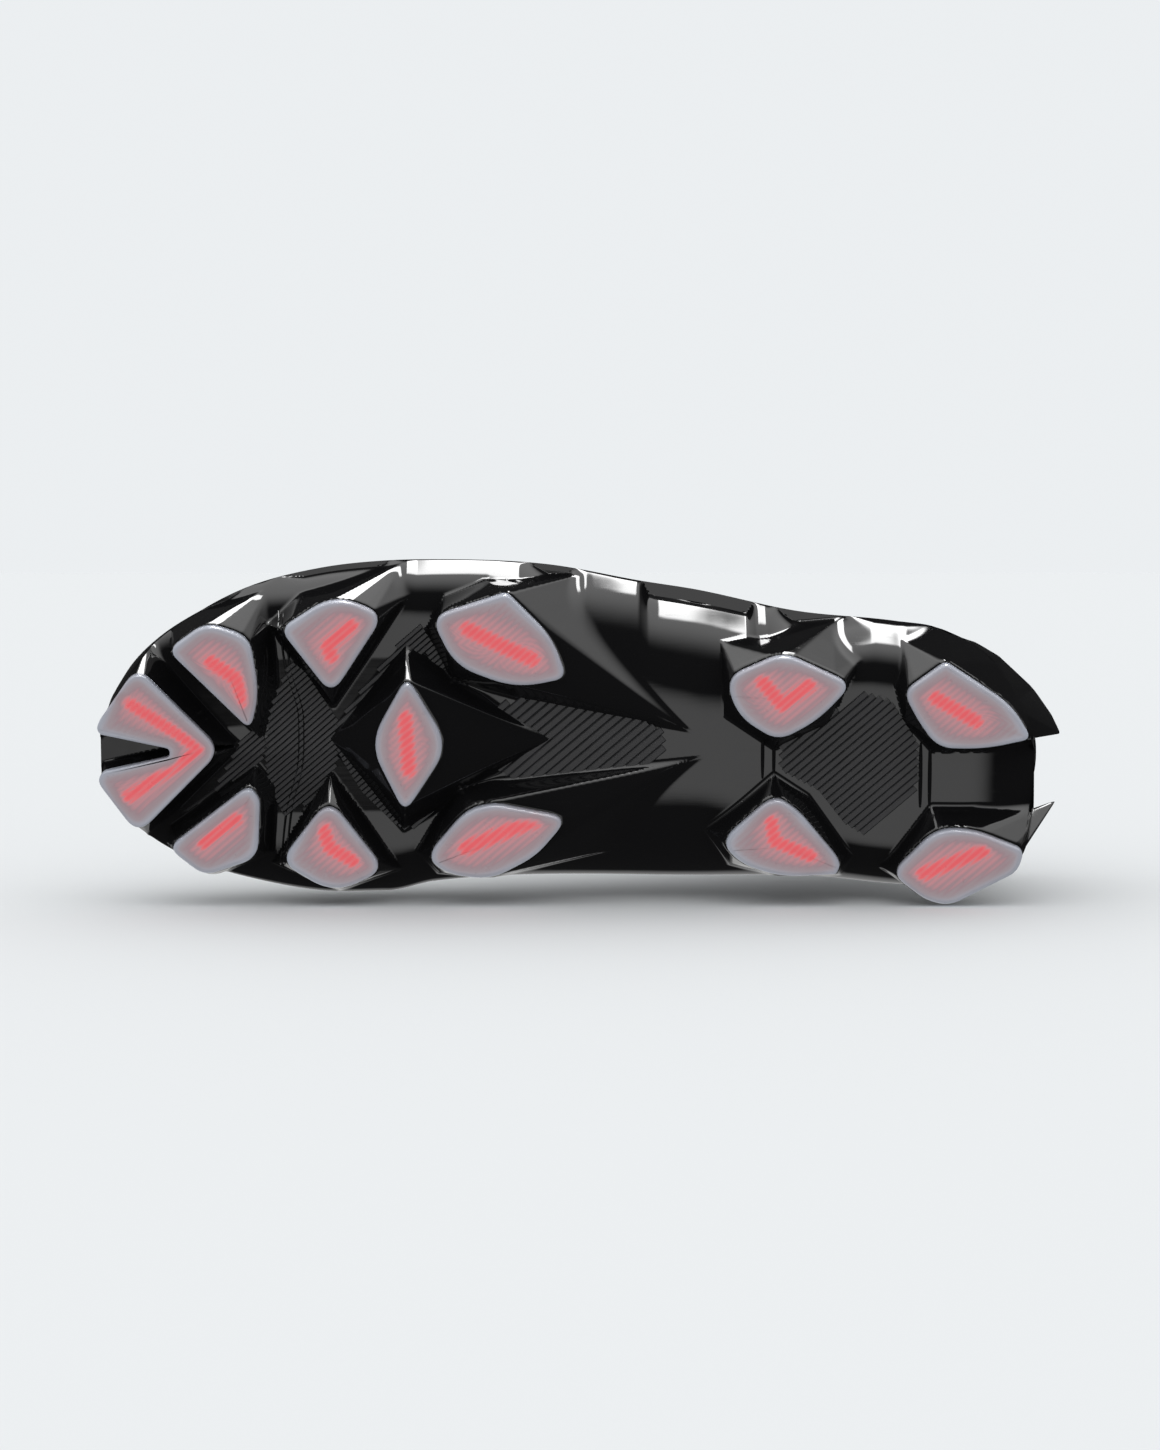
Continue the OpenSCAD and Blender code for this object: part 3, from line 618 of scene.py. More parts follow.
def plate_mesh(build):
    """One closed skin: underside, rim lip and inside, as a loop of points for each x."""
    nose = 145.6 - 16 * np.linspace(0, 1, 90) ** 1.6
    xs = np.unique(np.concatenate([nose, np.linspace(129.6, -137, PLATE_ROWS - 90)]))
    v = np.linspace(-1, 1, UNDER_STEPS)
    v = np.sign(v) * (1 - (1 - np.abs(v)) ** 1.5)
    x, y = across_plate(xs, v)
    under = np.stack([x, y, plate_height(x, y)], -1)
    lips = []
    for column, side in ((-1, 1), (0, -1)):
        edge = under[:, column]
        rows = [edge + [0, -side * inward, up] for inward, up in
                ((0.3, 0.6), (1.0, 0.95), (2.2, 0.8), (3.2, 0.2))]
        lips.append(np.stack(rows, 1))
    x, y = across_plate(xs, np.linspace(0.93, -0.93, INSIDE_STEPS))
    inside = np.stack([x, y, base_height(x, y) + PLATE_WALL], -1)
    build.tube(np.concatenate([under, lips[0], inside, lips[1][:, ::-1]], 1))


# Corners of the two pointed ends of the side walls, beside the heel channel
HEEL_FINS = [
    [(-145.5, -2, 19), (-133, 1.5, 12.6), (-128, 14, 13), (-117, 22.5, 14), (-112, 27.5, 27),
     (-120, 24.5, 29), (-127, 20.3, 29), (-137.4, 10.8, 27), (-143, 3, 24), (-120, 6, 14),
     (-134.6, -0.6, 4.6), (-128.5, 10, 5.0)],
    [(-144.4, -22.5, 19), (-132, -26.5, 12.6), (-129, -38, 13), (-117, -45, 14), (-114, -48, 24),
     (-124, -42, 26), (-132.4, -35.5, 26), (-139, -29.5, 24), (-120, -30, 14),
     (-133.2, -34.6, 4.6), (-130.6, -39.6, 5.0)],
]


def heel_fin(build, corners):
    """Adds one pointed end of the side walls: the hull of its corners, with rounded edges."""
    hull = convex_hull(corners)
    bmesh.ops.delete(hull, geom=[v for v in hull.verts if not v.link_faces], context="VERTS")
    bmesh.ops.bevel(hull, geom=list(hull.edges), offset=0.45, segments=3, profile=0.6, affect="EDGES")
    hull.verts.ensure_lookup_table()
    hull.verts.index_update()
    build.add([v.co[:] for v in hull.verts], [[v.index for v in f.verts] for f in hull.faces])
    hull.free()


def bead(build, path, radius, lift=0.15):
    """A thin raised line that follows the plate's underside along path, [x, y] points."""
    path = np.array(path, float)
    steps = np.arange(len(path))
    t = np.linspace(0, len(path) - 1, 14 * len(path))
    x, y = curve_through(np.column_stack([steps, path]).tolist(), t)
    z = plate_height(x.copy(), y.copy()) - lift
    centre = np.stack([x, y, z], -1)
    ahead = np.gradient(centre, axis=0)
    ahead /= np.linalg.norm(ahead, axis=1)[:, None]
    side = np.cross(ahead, [0, 0, 1.0])
    side /= np.linalg.norm(side, axis=1)[:, None]
    taper = np.sin(np.linspace(0.05, math.pi - 0.05, len(t)))[:, None] ** 0.25 * radius
    ring = np.linspace(0, 2 * math.pi, 9)[:-1]
    build.tube(np.stack([centre + taper * (side * math.cos(a) + np.array([0, 0, 1.0]) * math.sin(a))
                         for a in ring], 1))


# ---------------------------------------------------------------- floor ribs
RIB_DIRECTION = math.radians(139)
RIB_AXES = np.array([[math.cos(RIB_DIRECTION), math.sin(RIB_DIRECTION)],
                     [-math.sin(RIB_DIRECTION), math.cos(RIB_DIRECTION)]])
RIB_HEIGHT = 0.5


def rib_field(build, outline, pitch, width):
    """Parallel raised bars over the part of the floor inside outline, each a closed prism."""
    outline = np.array(outline, float)
    along, across = RIB_AXES
    s = outline @ across
    profile = [(-pitch / 2, -0.5), (-pitch / 2, 0.03), (-width / 2, RIB_HEIGHT - 0.06),
               (0.1 - width / 2, RIB_HEIGHT), (width / 2 - 0.1, RIB_HEIGHT),
               (width / 2, RIB_HEIGHT - 0.06), (pitch / 2, 0.03), (pitch / 2, -0.5)]
    for k in range(math.ceil(s.min() / pitch), math.floor(s.max() / pitch) + 1):
        level = (k + 0.5) * pitch
        cuts = []
        for p, q in zip(outline, np.roll(outline, -1, 0)):
            a, b = p @ across - level, q @ across - level
            if a * b < 0:
                cuts.append((p + (q - p) * a / (a - b)) @ along)
        cuts.sort()
        for start, end in zip(cuts[::2], cuts[1::2]):
            if end - start < pitch:
                continue
            t = np.linspace(start, end, max(4, int((end - start) / 1.2)))
            xy = along * t[:, None] + across * level
            floor = base_height(xy[:, 0], xy[:, 1])
            build.tube(np.stack([np.column_stack([xy + across * offset, floor - rise])
                                 for offset, rise in profile], 1))


# ---------------------------------------------------------------- stud tips
def segment_distance(p, a, b):
    """Distance of each point of p from the segment a-b."""
    ab = b - a
    t = np.clip(((p - a) @ ab) / max(ab @ ab, 1e-9), 0, 1)
    return np.linalg.norm(p - (a + t[:, None] * ab), axis=1)


BAR_PITCH = 1.75


def core_strength(xy, stud, outline):
    """How much of the core shows at each point: high along the core's line, broken into
    slanting bars, and fading to nothing at the tip's edge."""
    along, across = RIB_AXES
    s, t = xy @ across, xy @ along
    level = (np.floor(s / BAR_PITCH) + 0.5) * BAR_PITCH
    stepped = np.outer(t, along) + np.outer(level, across)
    line = np.array(stud["core"], float)
    width = stud["width"]

    def glow(points, reach):
        d = np.min([segment_distance(points, a, b) for a, b in zip(line[:-1], line[1:])], axis=0)
        return np.exp(-(d / reach) ** 2.4)

    edge = np.min([segment_distance(xy, a, b) for a, b in zip(outline, np.roll(outline, -1, 0))], axis=0)
    phase = (s / BAR_PITCH) % 1.0
    bar = 0.5 - 0.5 * np.cos(2 * np.pi * phase)
    red = 0.54 * glow(stepped, width * 0.68) * (0.70 + 0.30 * bar) + 0.34 * glow(xy, width * 0.76)
    halo = 0.37 * glow(xy, width * 1.9)
    lines = 0.15 * (bar - 0.5) * smooth((edge - 1.6) / 2.0)
    fade = smooth(edge / 5.0)
    return np.clip((np.maximum(red, halo) + lines) * (0.15 + 0.85 * fade) + 0.16 * fade, 0, 1)


def stud_tip(name, stud):
    """One translucent tip, hollowed above for its core and finely divided on its face."""
    corners, backs, _ = oriented(stud)
    outline = rounded_outline(corners, backs)
    normals = outline_normals(outline)
    z0 = tip_base(name)
    centre = np.array(stud.get("centre", corners.mean(0)), float)
    round_r = 0.8 if name == "toe" else 1.4
    # pocket for the core, then the face on the tower, the wall and the rounded edge
    pocket_z, wall, top = z0 + 1.25, 4.2, z0 + TIP_HEIGHT
    reach = np.linalg.norm(outline - centre, axis=1)
    inner = centre + (outline - centre) * np.clip(1 - wall / reach, 0.3, 1)[:, None]
    levels = [(centre + (inner - centre) * share, pocket_z) for share in (0.02, 0.5, 1.0)]
    levels += [(inner, top), (outline - normals * 0.15, top), (outline, top - 0.15)]
    for a in np.radians(np.linspace(0, 90, 8)):
        levels.append((outline - normals * round_r * (1 - math.cos(a)), z0 + round_r * (1 - math.sin(a))))
    edge = outline - normals * round_r
    levels += [(centre + (edge - centre) * max(share, 0.002), z0) for share in np.linspace(1, 0, 46)[1:]]
    rows = [np.column_stack([xy, np.full(len(outline), z)]) for xy, z in levels]
    points = np.stack(rows)
    build = Build()
    strength = core_strength(points.reshape(-1, 3)[:, :2], stud, outline)
    build.grid(points, flip=True, value=strength)
    build.caps(len(outline), len(rows), flip=True)
    tip = build.object("tip_" + name, STUD_MILK, 50, attribute="core")
    place(tip, BODY, "stud_translucent", "stud_tip_" + name)


# ---------------------------------------------------------------- the foot form, as in the CAD source
# Sections, toe to collar: bottom x, z, top x, z, half width, centre y at the bottom and at
# the top, height share of the widest line, bottom and top squareness
SECTIONS = np.array([
    [143.4, 11.5, 143.4, 13.5, 0.8, -2.0, -2.0, 0.45, 2.0, 2.0],
    [142.4, 8.0, 142.4, 18.5, 8.5, -2.0, -2.0, 0.42, 2.0, 2.0],
    [140.0, 5.0, 140.0, 24.0, 14.0, -2.0, -2.5, 0.40, 2.2, 2.1],
    [135.0, 2.5, 135.0, 29.5, 21.5, -2.0, -3.0, 0.38, 2.5, 2.2],
    [127.0, 1.0, 127.0, 33.5, 29.0, -2.0, -3.5, 0.36, 2.8, 2.2],
    [115.0, 0.0, 115.0, 37.0, 36.3, -2.0, -4.0, 0.34, 3.0, 2.1],
    [100.0, 0.0, 100.0, 40.0, 42.3, -1.8, -4.5, 0.32, 3.2, 2.0],
    [80.0, 0.0, 80.0, 44.0, 46.0, -0.5, -5.0, 0.30, 3.2, 1.95],
    [60.0, 0.0, 60.0, 49.0, 47.4, 0.5, -5.0, 0.30, 3.2, 1.9],
    [45.0, 0.0, 45.0, 53.5, 46.6, 1.2, -5.0, 0.30, 3.2, 1.85],
    [25.0, 0.5, 25.0, 61.0, 44.0, 1.2, -5.0, 0.30, 3.0, 1.8],
    [3.0, 2.0, 5.0, 70.0, 41.5, 0.3, -5.5, 0.30, 3.0, 1.8],
    [-22.0, 3.5, -10.0, 77.5, 40.6, -2.2, -6.0, 0.32, 2.9, 1.8],
    [-50.0, 4.0, -20.0, 80.5, 39.6, -5.0, -6.5, 0.35, 2.8, 1.85],
    [-80.0, 2.5, -27.0, 82.5, 36.8, -8.5, -7.5, 0.38, 2.8, 1.9],
    [-105.0, 1.5, -32.0, 84.0, 34.5, -11.5, -8.5, 0.40, 2.8, 1.95],
    [-125.0, 3.0, -34.0, 85.5, 32.5, -12.5, -9.5, 0.42, 2.7, 2.0],
    [-135.5, 10.0, -35.5, 86.5, 31.5, -13.0, -10.0, 0.44, 2.5, 2.0],
    [-139.0, 22.0, -36.5, 87.3, 31.0, -13.0, -10.5, 0.46, 2.3, 2.0],
    [-138.5, 36.0, -37.3, 88.0, 30.5, -13.0, -11.0, 0.48, 2.2, 2.0],
    [-135.5, 50.0, -38.2, 88.8, 30.0, -13.0, -11.5, 0.50, 2.1, 2.0],
    [-132.0, 63.0, -39.0, 89.5, 29.5, -13.0, -12.0, 0.50, 2.1, 2.0],
    [-130.5, 76.0, -40.0, 90.5, 29.5, -13.0, -12.0, 0.50, 2.0, 2.0],
])
LAST = len(SECTIONS) - 1
LAYER_GAP = 0.3
SKIN_OUT, SKIN_IN = -0.3, -1.7
LINING_OUT, LINING_IN = -3.6, -4.5
FOAM_OUT, FOAM_IN = -5.4, -9.0
COVER_OUT, COVER_IN = -9.15, -9.85
VAMP_END, QUARTER_END = 9.0, 19.5
GUSSET_ANGLE = 18.0
PAD_START, PAD_DEPTH = 19.8, 1.9
CUFF_RIBS = 84
GUSSET_RIBS = 46
# A loop of knit is taller than it is wide
KNIT_STRETCH = 1.5
SOCKLINER_END = 15.8


def section_at(u):
    """Catmull-Rom curve through the sections, at u sections from the toe."""
    i = np.minimum(np.floor(u).astype(int), LAST - 1)
    t = (u - i)[..., None]
    a, b, c, d = (SECTIONS[np.clip(i + k, 0, LAST)] for k in (-1, 0, 1, 2))
    return 0.5 * (2 * b + (c - a) * t + (2 * a - 5 * b + 4 * c - d) * t ** 2
                  + (3 * b - a - 3 * c + d) * t ** 3)


def form_point(u, angle, d):
    """Points of the foot form, d millimetres outside it, at section u and angle round it."""
    u, angle, d = np.broadcast_arrays(np.asarray(u, float), angle, d)
    s = np.moveaxis(section_at(u), -1, 0)
    push = d * np.where(u >= 6, 0, np.clip(1 - u / 6, 0, 1) ** 1.5)
    low = np.stack([s[0] + push, s[1]], -1)
    high = np.stack([s[2] + push, s[3]], -1)
    long = np.linalg.norm(high - low, axis=-1)
    up = (high - low) / long[..., None]
    sine, cosine = np.sin(np.radians(angle)), np.cos(np.radians(angle))
    power = 2 / np.where(sine < 0, s[8], s[9])
    half = np.where(sine < 0, s[7], 1 - s[7]) * long
    along = s[7] * long + np.maximum(half + d, half / 5) * np.sign(sine) * np.abs(sine) ** power
    centre = s[5] + (s[6] - s[5]) * np.clip(along / long, 0, 1)
    at = low + up * along[..., None]
    side = np.maximum(s[4] + d, s[4] / 5) * np.sign(cosine) * np.abs(cosine) ** power
    return np.stack([at[..., 0], centre + side, INSIDE_Z + at[..., 1]], -1)


def panel(name, material, u_range, edge, d_range, rows, cols, relief):
    """A curved sheet of the form between two offsets. edge is a list of [u, first angle, last
    angle]; relief(u, angle, a, b) raises the outside, where a and b run 0 to 1 over the sheet."""
    build = Build()
    closed = edge is ROUND
    a = np.linspace(0, 1, rows)[:, None]
    b = np.linspace(0, 1, cols, endpoint=not closed)[None, :]
    u = u_range[0] + (u_range[1] - u_range[0]) * a
    table = np.array(edge, float)
    first = np.interp(u, table[:, 0], table[:, 1])
    last = np.interp(u, table[:, 0], table[:, 2])
    angle = first + (last - first) * b
    u = np.broadcast_to(u, angle.shape)
    inner, outer = d_range
    inner = inner(u) if callable(inner) else inner
    outer = outer(u) if callable(outer) else outer
    if relief is not None:
        outer = outer + relief(u, angle, a, b)
    inside, outside = form_point(u, angle, inner), form_point(u, angle, outer)
    run = [np.linalg.norm(np.diff(outside, axis=k), axis=-1) for k in (0, 1)]
    down = np.vstack([np.zeros((1, outside.shape[1])), np.cumsum(run[0], 0)])
    over = np.hstack([np.zeros((outside.shape[0], 1)), np.cumsum(run[1], 1)])
    over = over - over[:, over.shape[1] // 2, None]
    cloth = np.stack([down, over * KNIT_STRETCH, 0 * down], -1)
    if closed:
        build.hoop(np.concatenate([outside, inside[::-1]], 0))
        cloth = np.concatenate([cloth, cloth[::-1]], 0)
    else:
        loop = np.concatenate([outside, inside[:, ::-1]], 1)
        cloth = np.concatenate([cloth, cloth[:, ::-1]], 1)
        build.grid(loop)
        n = loop.shape[1]
        for row in (0, len(loop) - 1):
            for k in range(n // 2 - 1):
                quad = (row * n + k, row * n + k + 1, row * n + n - 2 - k, row * n + n - 1 - k)
                build.faces.append(quad if row else quad[::-1])
    obj = build.object(name, material, 55)
    layer = obj.data.attributes.new("cloth", "FLOAT_VECTOR", "POINT")
    layer.data.foreach_set("vector", cloth.ravel())
    face_outward(obj)
    return obj


def rounded_edges(depth=0.35, reach=0.03):
    """Rolls a panel's outside down at all four edges, so that a seam shows as a groove."""
    def relief(u, angle, a, b):
        nearest = np.minimum(np.minimum(a, 1 - a), np.minimum(b, 1 - b))
        return -depth * (1 - smooth(nearest / reach))
    return relief


def pad_bulge(u):
    """How far the lining stands in from the skin, to leave room for the ankle pads."""
    return PAD_DEPTH * smooth((u - PAD_START + 1.2) / 1.2)


def cuff_relief(u, angle, a, b):
    """Vertical knit ribs, which fade out at the seam with the quarters."""
    rib = 0.5 + 0.5 * np.cos(np.radians(angle) * CUFF_RIBS)
    return -0.30 * rib * smooth(a / 0.08) - 0.25 * (1 - smooth(a / 0.04))


def gusset_relief(u, angle, a, b):
    """Crossways stretch ribs over the instep."""
    rib = 0.5 + 0.5 * np.cos(2 * math.pi * a * GUSSET_RIBS)
    return -0.28 * rib - 0.25 * (1 - smooth(np.minimum(b, 1 - b) / 0.08))


def quarter_relief(u, angle, a, b):
    """Slanting, shallow ridges in the knit, strongest in the middle of the panel."""
    middle = smooth(np.minimum(a, 1 - a) / 0.2) * smooth(np.minimum(b, 1 - b) / 0.2)
    wave = np.cos(2 * math.pi * (a * 13 + b * 4))
    return rounded_edges()(u, angle, a, b) + 0.16 * np.maximum(wave, 0) * middle


def stitches(name, u, angle, length=2.4, gap=1.0):
    """A row of raised stitches over the skin, along a line of the form."""
    line = form_point(u, angle, SKIN_OUT + 0.02)
    steps = run_along(line)
    build = Build()
    for start in np.arange(1.0, steps[-1] - length, length + gap):
        at = np.linspace(start, start + length, 5)
        p = np.stack([np.interp(at, steps, line[:, k]) for k in range(3)], -1)
        ahead = (p[-1] - p[0]) / np.linalg.norm(p[-1] - p[0])
        side = np.cross(ahead, [0.3, 0.2, 0.93])
        side /= np.linalg.norm(side)
        other = np.cross(ahead, side)
        swell = 0.26 * np.sin(np.linspace(0.25, math.pi - 0.25, 5))[:, None]
        build.tube(np.stack([p + swell * (side * math.cos(t) + other * math.sin(t))
                             for t in np.linspace(0, 2 * math.pi, 7)[:-1]], 1))
    place(build.object(name, THREAD, 180), BODY, "upper_black")


def even_steps(points, steps):
    """Points spaced evenly round a closed outline."""
    closed = np.vstack([points, points[:1]])
    run = run_along(closed)
    at = np.linspace(0, run[-1], steps + 1)[:-1]
    return np.stack([np.interp(at, run, closed[:, k]) for k in range(2)], -1)


def heel_loop_piece():
    """The heel loop: one tape folded over and sewn, with a flat open eye."""
    low, high = (np.array(c) * 1000 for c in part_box("heel_pull_loop"))
    x, y, middle_z = (low + high) / 2
    width, radius, steps = high[1] - low[1], (high[0] - low[0]) / 2, 64
    top, eye_foot, eye_radius = high[2] - radius, low[2] + 4, radius - 1.2
    turn = np.radians(np.linspace(0, 180, 15))[:, None]
    arc = np.hstack([np.cos(turn), np.sin(turn)])
    sides = np.linspace(0, 1, 12)[:, None]

    def leg(at_x, start, end):
        return np.hstack([np.full_like(sides, at_x), start + (end - start) * sides])

    outer = np.vstack([[x, top] + arc * radius, leg(x - radius, top, low[2])[1:],
                       leg(x + radius, low[2], top)[:-1]])
    eye = np.vstack([leg(x + eye_radius, top, eye_foot)[1:][::-1], [x, top] + arc * eye_radius,
                     leg(x - eye_radius, eye_foot, top)[:-1][::-1]])
    outside, hole = even_steps(outer, steps), even_steps(eye, steps)
    hole = np.roll(hole, -np.argmin(np.linalg.norm(hole - outside[0], axis=1)), 0)
    pull = outside - [x, middle_z]
    pull /= np.linalg.norm(pull, axis=1)[:, None]
    rows = []
    for v in np.linspace(-1, 1, 15):
        thin = 0.2 * (1 - math.sqrt(1 - abs(v) ** 12))
        rows.append((outside - pull * thin, v))
    rows += [(hole, -v) for _, v in rows]
    build = Build()
    build.hoop(np.stack([np.column_stack([xz[:, 0], np.full(steps, y + v * width / 2), xz[:, 1]])
                         for xz, v in rows]))
    obj = build.object("heel_loop_tape", TAPE, 60)
    face_outward(obj)
    place(obj, "heel_loop", "webbing", "heel_pull_loop")


def front_tab_piece():
    """The front tab: a flat tape with round corners, thinned at its edge, in rows of weave."""
    low, high = (np.array(c) * 1000 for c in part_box("front_pull_tab"))
    points = np.array([[low[1], low[2]], [high[1], low[2]], [high[1], high[2]], [low[1], high[2]]])
    outline = rounded_outline(points, [0.5, 0.5, 5.0, 5.0])
    centre = points.mean(0)
    normals = outline_normals(outline)
    thick = (high[0] - low[0]) / 2
    x = (high[0] + low[0]) / 2
    build = Build()
    rows = []
    for side in (1, -1):
        shares = np.linspace(0.002, 1, 12) if side == 1 else np.linspace(1, 0.002, 12)
        for share in shares:
            ring = centre + (outline - normals * 0.25 - centre) * share
            rib = 0.06 * np.cos(ring[:, 1] * 2 * math.pi / 1.6)
            rows.append(np.column_stack([x + side * (thick - 0.08 + rib), ring]))
        if side == 1:
            rows.append(np.column_stack([np.full(len(outline), x), outline]))
    build.grid(np.stack(rows))
    obj = build.object("front_tab_tape", TAPE, 60)
    face_outward(obj, fill=True)
    place(obj, "front_tab", "webbing", "front_pull_tab")


TOP = 90 - GUSSET_ANGLE
FOOT_EDGE = [(9, -45), (12.5, -48), (15.5, -62), (17, -89.6), (19.5, -89.6)]
SKIN = (SKIN_IN, SKIN_OUT)
QUARTER = (VAMP_END + 0.03, QUARTER_END)
SOCKLINER = (2.4, SOCKLINER_END)
SOCKLINER_WIDTH = [[0, 226, 314]]
ROUND = [[0, 0, 360]]


def pad_crown(u, angle, a, b):
    return -0.5 * ((2 * a - 1) ** 4 + (2 * b - 1) ** 4) / 2


def foam_dimples(u, angle, a, b):
    return -0.12 * (0.5 + 0.5 * np.cos(a * 300) * np.cos(b * 90))


def binding_roll(u, angle, a, b):
    return -0.45 * (2 * a - 1) ** 4


def lining_in(u):
    return LINING_IN - pad_bulge(u)


def lining_out(u):
    return LINING_OUT - pad_bulge(u)


def pad_in(u):
    return LINING_OUT + LAYER_GAP - pad_bulge(u)


# name, node, slot, then panel's material, u range, edge, offsets, rows, columns and relief
PANELS = [
    ("vamp", "upper_vamp", "upper_black", UPPER_KNIT, (0.02, VAMP_END - 0.03),
     [[0, -30, 210], [6, -45, 225], [9, -45, 225]], SKIN, 90, 190, rounded_edges(0.35, 0.012)),
    ("quarter_lateral", "upper_quarter_lateral", "upper_black", UPPER_KNIT, QUARTER,
     [[u, a, TOP] for u, a in FOOT_EDGE], SKIN, 150, 90, quarter_relief),
    ("quarter_medial", "upper_quarter_medial", "upper_black", UPPER_KNIT, QUARTER,
     [[u, 180 - TOP, 180 - a] for u, a in FOOT_EDGE], SKIN, 150, 90, quarter_relief),
    ("gusset", "throat_gusset", "knit_black", STRETCH_KNIT, QUARTER,
     [[9, TOP + 0.6, 179.4 - TOP]], SKIN, 420, 26, gusset_relief),
    ("cuff", "collar_cuff", "knit_black", STRETCH_KNIT, (QUARTER_END + 0.03, LAST), ROUND, SKIN,
     40, 504, cuff_relief),
    ("binding", "collar_binding", "binding_black", BINDING_TAPE, (LAST - 0.28, LAST), ROUND,
     (LAYER_GAP, LAYER_GAP + 0.8), 9, 200, binding_roll),
    ("lining", "bootie_lining", "lining_grey", LINING_MESH, (1.0, LAST - 0.3), ROUND,
     (lining_in, lining_out), 110, 120, None),
    ("pad_lateral", "collar_pad_lateral", "foam_grey", FOAM, (PAD_START, LAST - 0.6),
     [[0, -80, -20]], (pad_in, SKIN_IN - LAYER_GAP), 22, 34, pad_crown),
    ("pad_medial", "collar_pad_medial", "foam_grey", FOAM, (PAD_START, LAST - 0.6),
     [[0, 200, 260]], (pad_in, SKIN_IN - LAYER_GAP), 22, 34, pad_crown),
    ("footbed_foam", "sockliner_foam", "foam_grey", FOAM, SOCKLINER, SOCKLINER_WIDTH,
     (FOAM_IN, FOAM_OUT), 90, 50, foam_dimples),
    ("footbed_cover", "sockliner_cover", "sockliner_cloth", COVER_KNIT, SOCKLINER, SOCKLINER_WIDTH,
     (COVER_IN, COVER_OUT), 90, 50, None),
    ("toe_film", "toe_guard", "film_gloss", FILM, (0.03, 4.4),
     [[0, -34, 214], [2, -22, 202], [4, -2, 182]], (LAYER_GAP, LAYER_GAP + 0.55), 50, 120,
     rounded_edges(0.35, 0.03)),
    ("heel_tape", "heel_seam_tape", "film_gloss", FILM, (18.3, 20.9), [[18, 262, 278], [21, 264, 276]],
     (LAYER_GAP, LAYER_GAP + 0.65), 40, 16, rounded_edges(0.35, 0.08)),
]


def build_upper():
    """Every soft or thin piece of the boot over the plate."""
    for name, node, slot, *shape in PANELS:
        piece = panel(name, *shape)
        place(piece, "sockliner" if name.startswith("footbed") else BODY, slot, node)
    seam = np.linspace(VAMP_END + 0.3, QUARTER_END - 0.4, 260)
    stitches("seam_lateral", seam, TOP - 2.2)
    stitches("seam_medial", seam, 180 - TOP + 2.2)


FIN_COUNT, FIN_START, FIN_STEP, FIN_WIDTH = 7, 5.2, 0.86, 0.3


def build_fins():
    """Slanting grip fins on both sides of the forefoot, each rounded over its back."""
    fins = Build()
    a = np.linspace(0, 1, 9)[:, None]
    b = np.linspace(0, 1, 40)[None, :]
    ridge = np.sin(math.pi * a) ** 0.6 * np.sin(math.pi * b) ** 0.35
    for side in (1, -1):
        for k in range(FIN_COUNT):
            low, high = 20 - k, 58 - 2 * k
            angle = low + (high - low) * b
            angle = angle if side > 0 else 180 - angle
            u = FIN_START + k * FIN_STEP + FIN_WIDTH * a
            outside = form_point(u, angle, -0.25 + 1.15 * ridge)
            inside = form_point(u, angle, -0.35)
            fins.tube(np.concatenate([outside, inside[:, ::-1]], 1), flip=True)
    place(fins.object("grip_fin_rows", FIN_RUBBER, 60), BODY, "fin_rubber", "grip_fins")


BAND_HEIGHT = 27.5


def band_angle(u):
    """For each section, the angle under the widest line at which the form is BAND_HEIGHT high."""
    angles = np.linspace(-90, -1, 90)
    heights = form_point(u[:, None], angles[None, :], 0.0)[..., 2]
    return np.array([np.interp(BAND_HEIGHT, row, angles) for row in heights])


def foot_band(build):
    """The plate's upper wall, all round the boot: from the rim up to the foot form."""
    u = np.concatenate([np.linspace(0.02, 2, 34)[:-1], np.linspace(2, 17.2, 190)])
    angle = band_angle(u)
    along = form_point(u, angle, 0.5)[:, 0].clip(-137, 145.6)
    y_out, z_out, y_in, z_in = rim_at(along)
    turn = np.linspace(0, 1, 14)[1:-1]
    ends = []
    for end in (-1, 0):
        sweep = angle[end] + (-180 - 2 * angle[end]) * turn
        edge = np.column_stack([np.full(len(turn), along[end]),
                                y_out[end] + (y_in[end] - y_out[end]) * turn,
                                z_out[end] + (z_in[end] - z_out[end]) * turn])
        ends.append((np.full(len(turn), u[end]), sweep, edge))
    heel, nose = ends
    all_u = np.concatenate([u, heel[0], u[::-1], nose[0]])
    all_angle = np.concatenate([angle, heel[1], -180 - angle[::-1], nose[1][::-1]])
    edge = np.concatenate([np.column_stack([along, y_out, z_out]), heel[2],
                           np.column_stack([along, y_in, z_in])[::-1], nose[2][::-1]])
    middle = np.column_stack([edge[:, 0].clip(-118, 120), np.full(len(edge), -6.0)])
    outward = edge[:, :2] - middle
    outward /= np.linalg.norm(outward, axis=1)[:, None]
    outward = np.column_stack([outward, np.zeros(len(edge))])
    top = form_point(all_u, all_angle, 0.55)
    low = edge + [0, 0, 0.55] - outward * 0.25
    rows = []
    for t in np.linspace(0, 1, 9):
        swell = 0.55 * math.sin(math.pi * t) - 0.35 * t ** 6
        rows.append(low + (top - low) * t + outward * swell)
    rows.append(form_point(all_u, all_angle, -0.28))
    rows.append(edge - outward * 3.0 + [0, 0, 0.2])
    build.hoop(np.stack(rows))


HIDDEN_MATERIALS = {"stud_core_": CORE_RED, "lasting_board": BOARD, "shank": SHANK_NYLON,
                    "toe_puff": STIFFENER, "heel_counter": STIFFENER}


def dress_hidden_nodes():
    """The stiff inner pieces keep their CAD shape and take a finished material."""
    for name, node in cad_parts.items():
        for start, material in HIDDEN_MATERIALS.items():
            if name.startswith(start):
                for obj in (node if isinstance(node, (list, tuple)) else [node]):
                    if not obj.material_slots:
                        obj.data.materials.append(material)
                    for slot in obj.material_slots:
                        slot.material = material


# ---------------------------------------------------------------- camera, light and stage
TILT = math.radians(12)
UP = Vector((0, math.cos(TILT), math.sin(TILT)))
BACK = Vector((0, math.sin(TILT), -math.cos(TILT)))
RIGHT = Vector((-1, 0, 0))


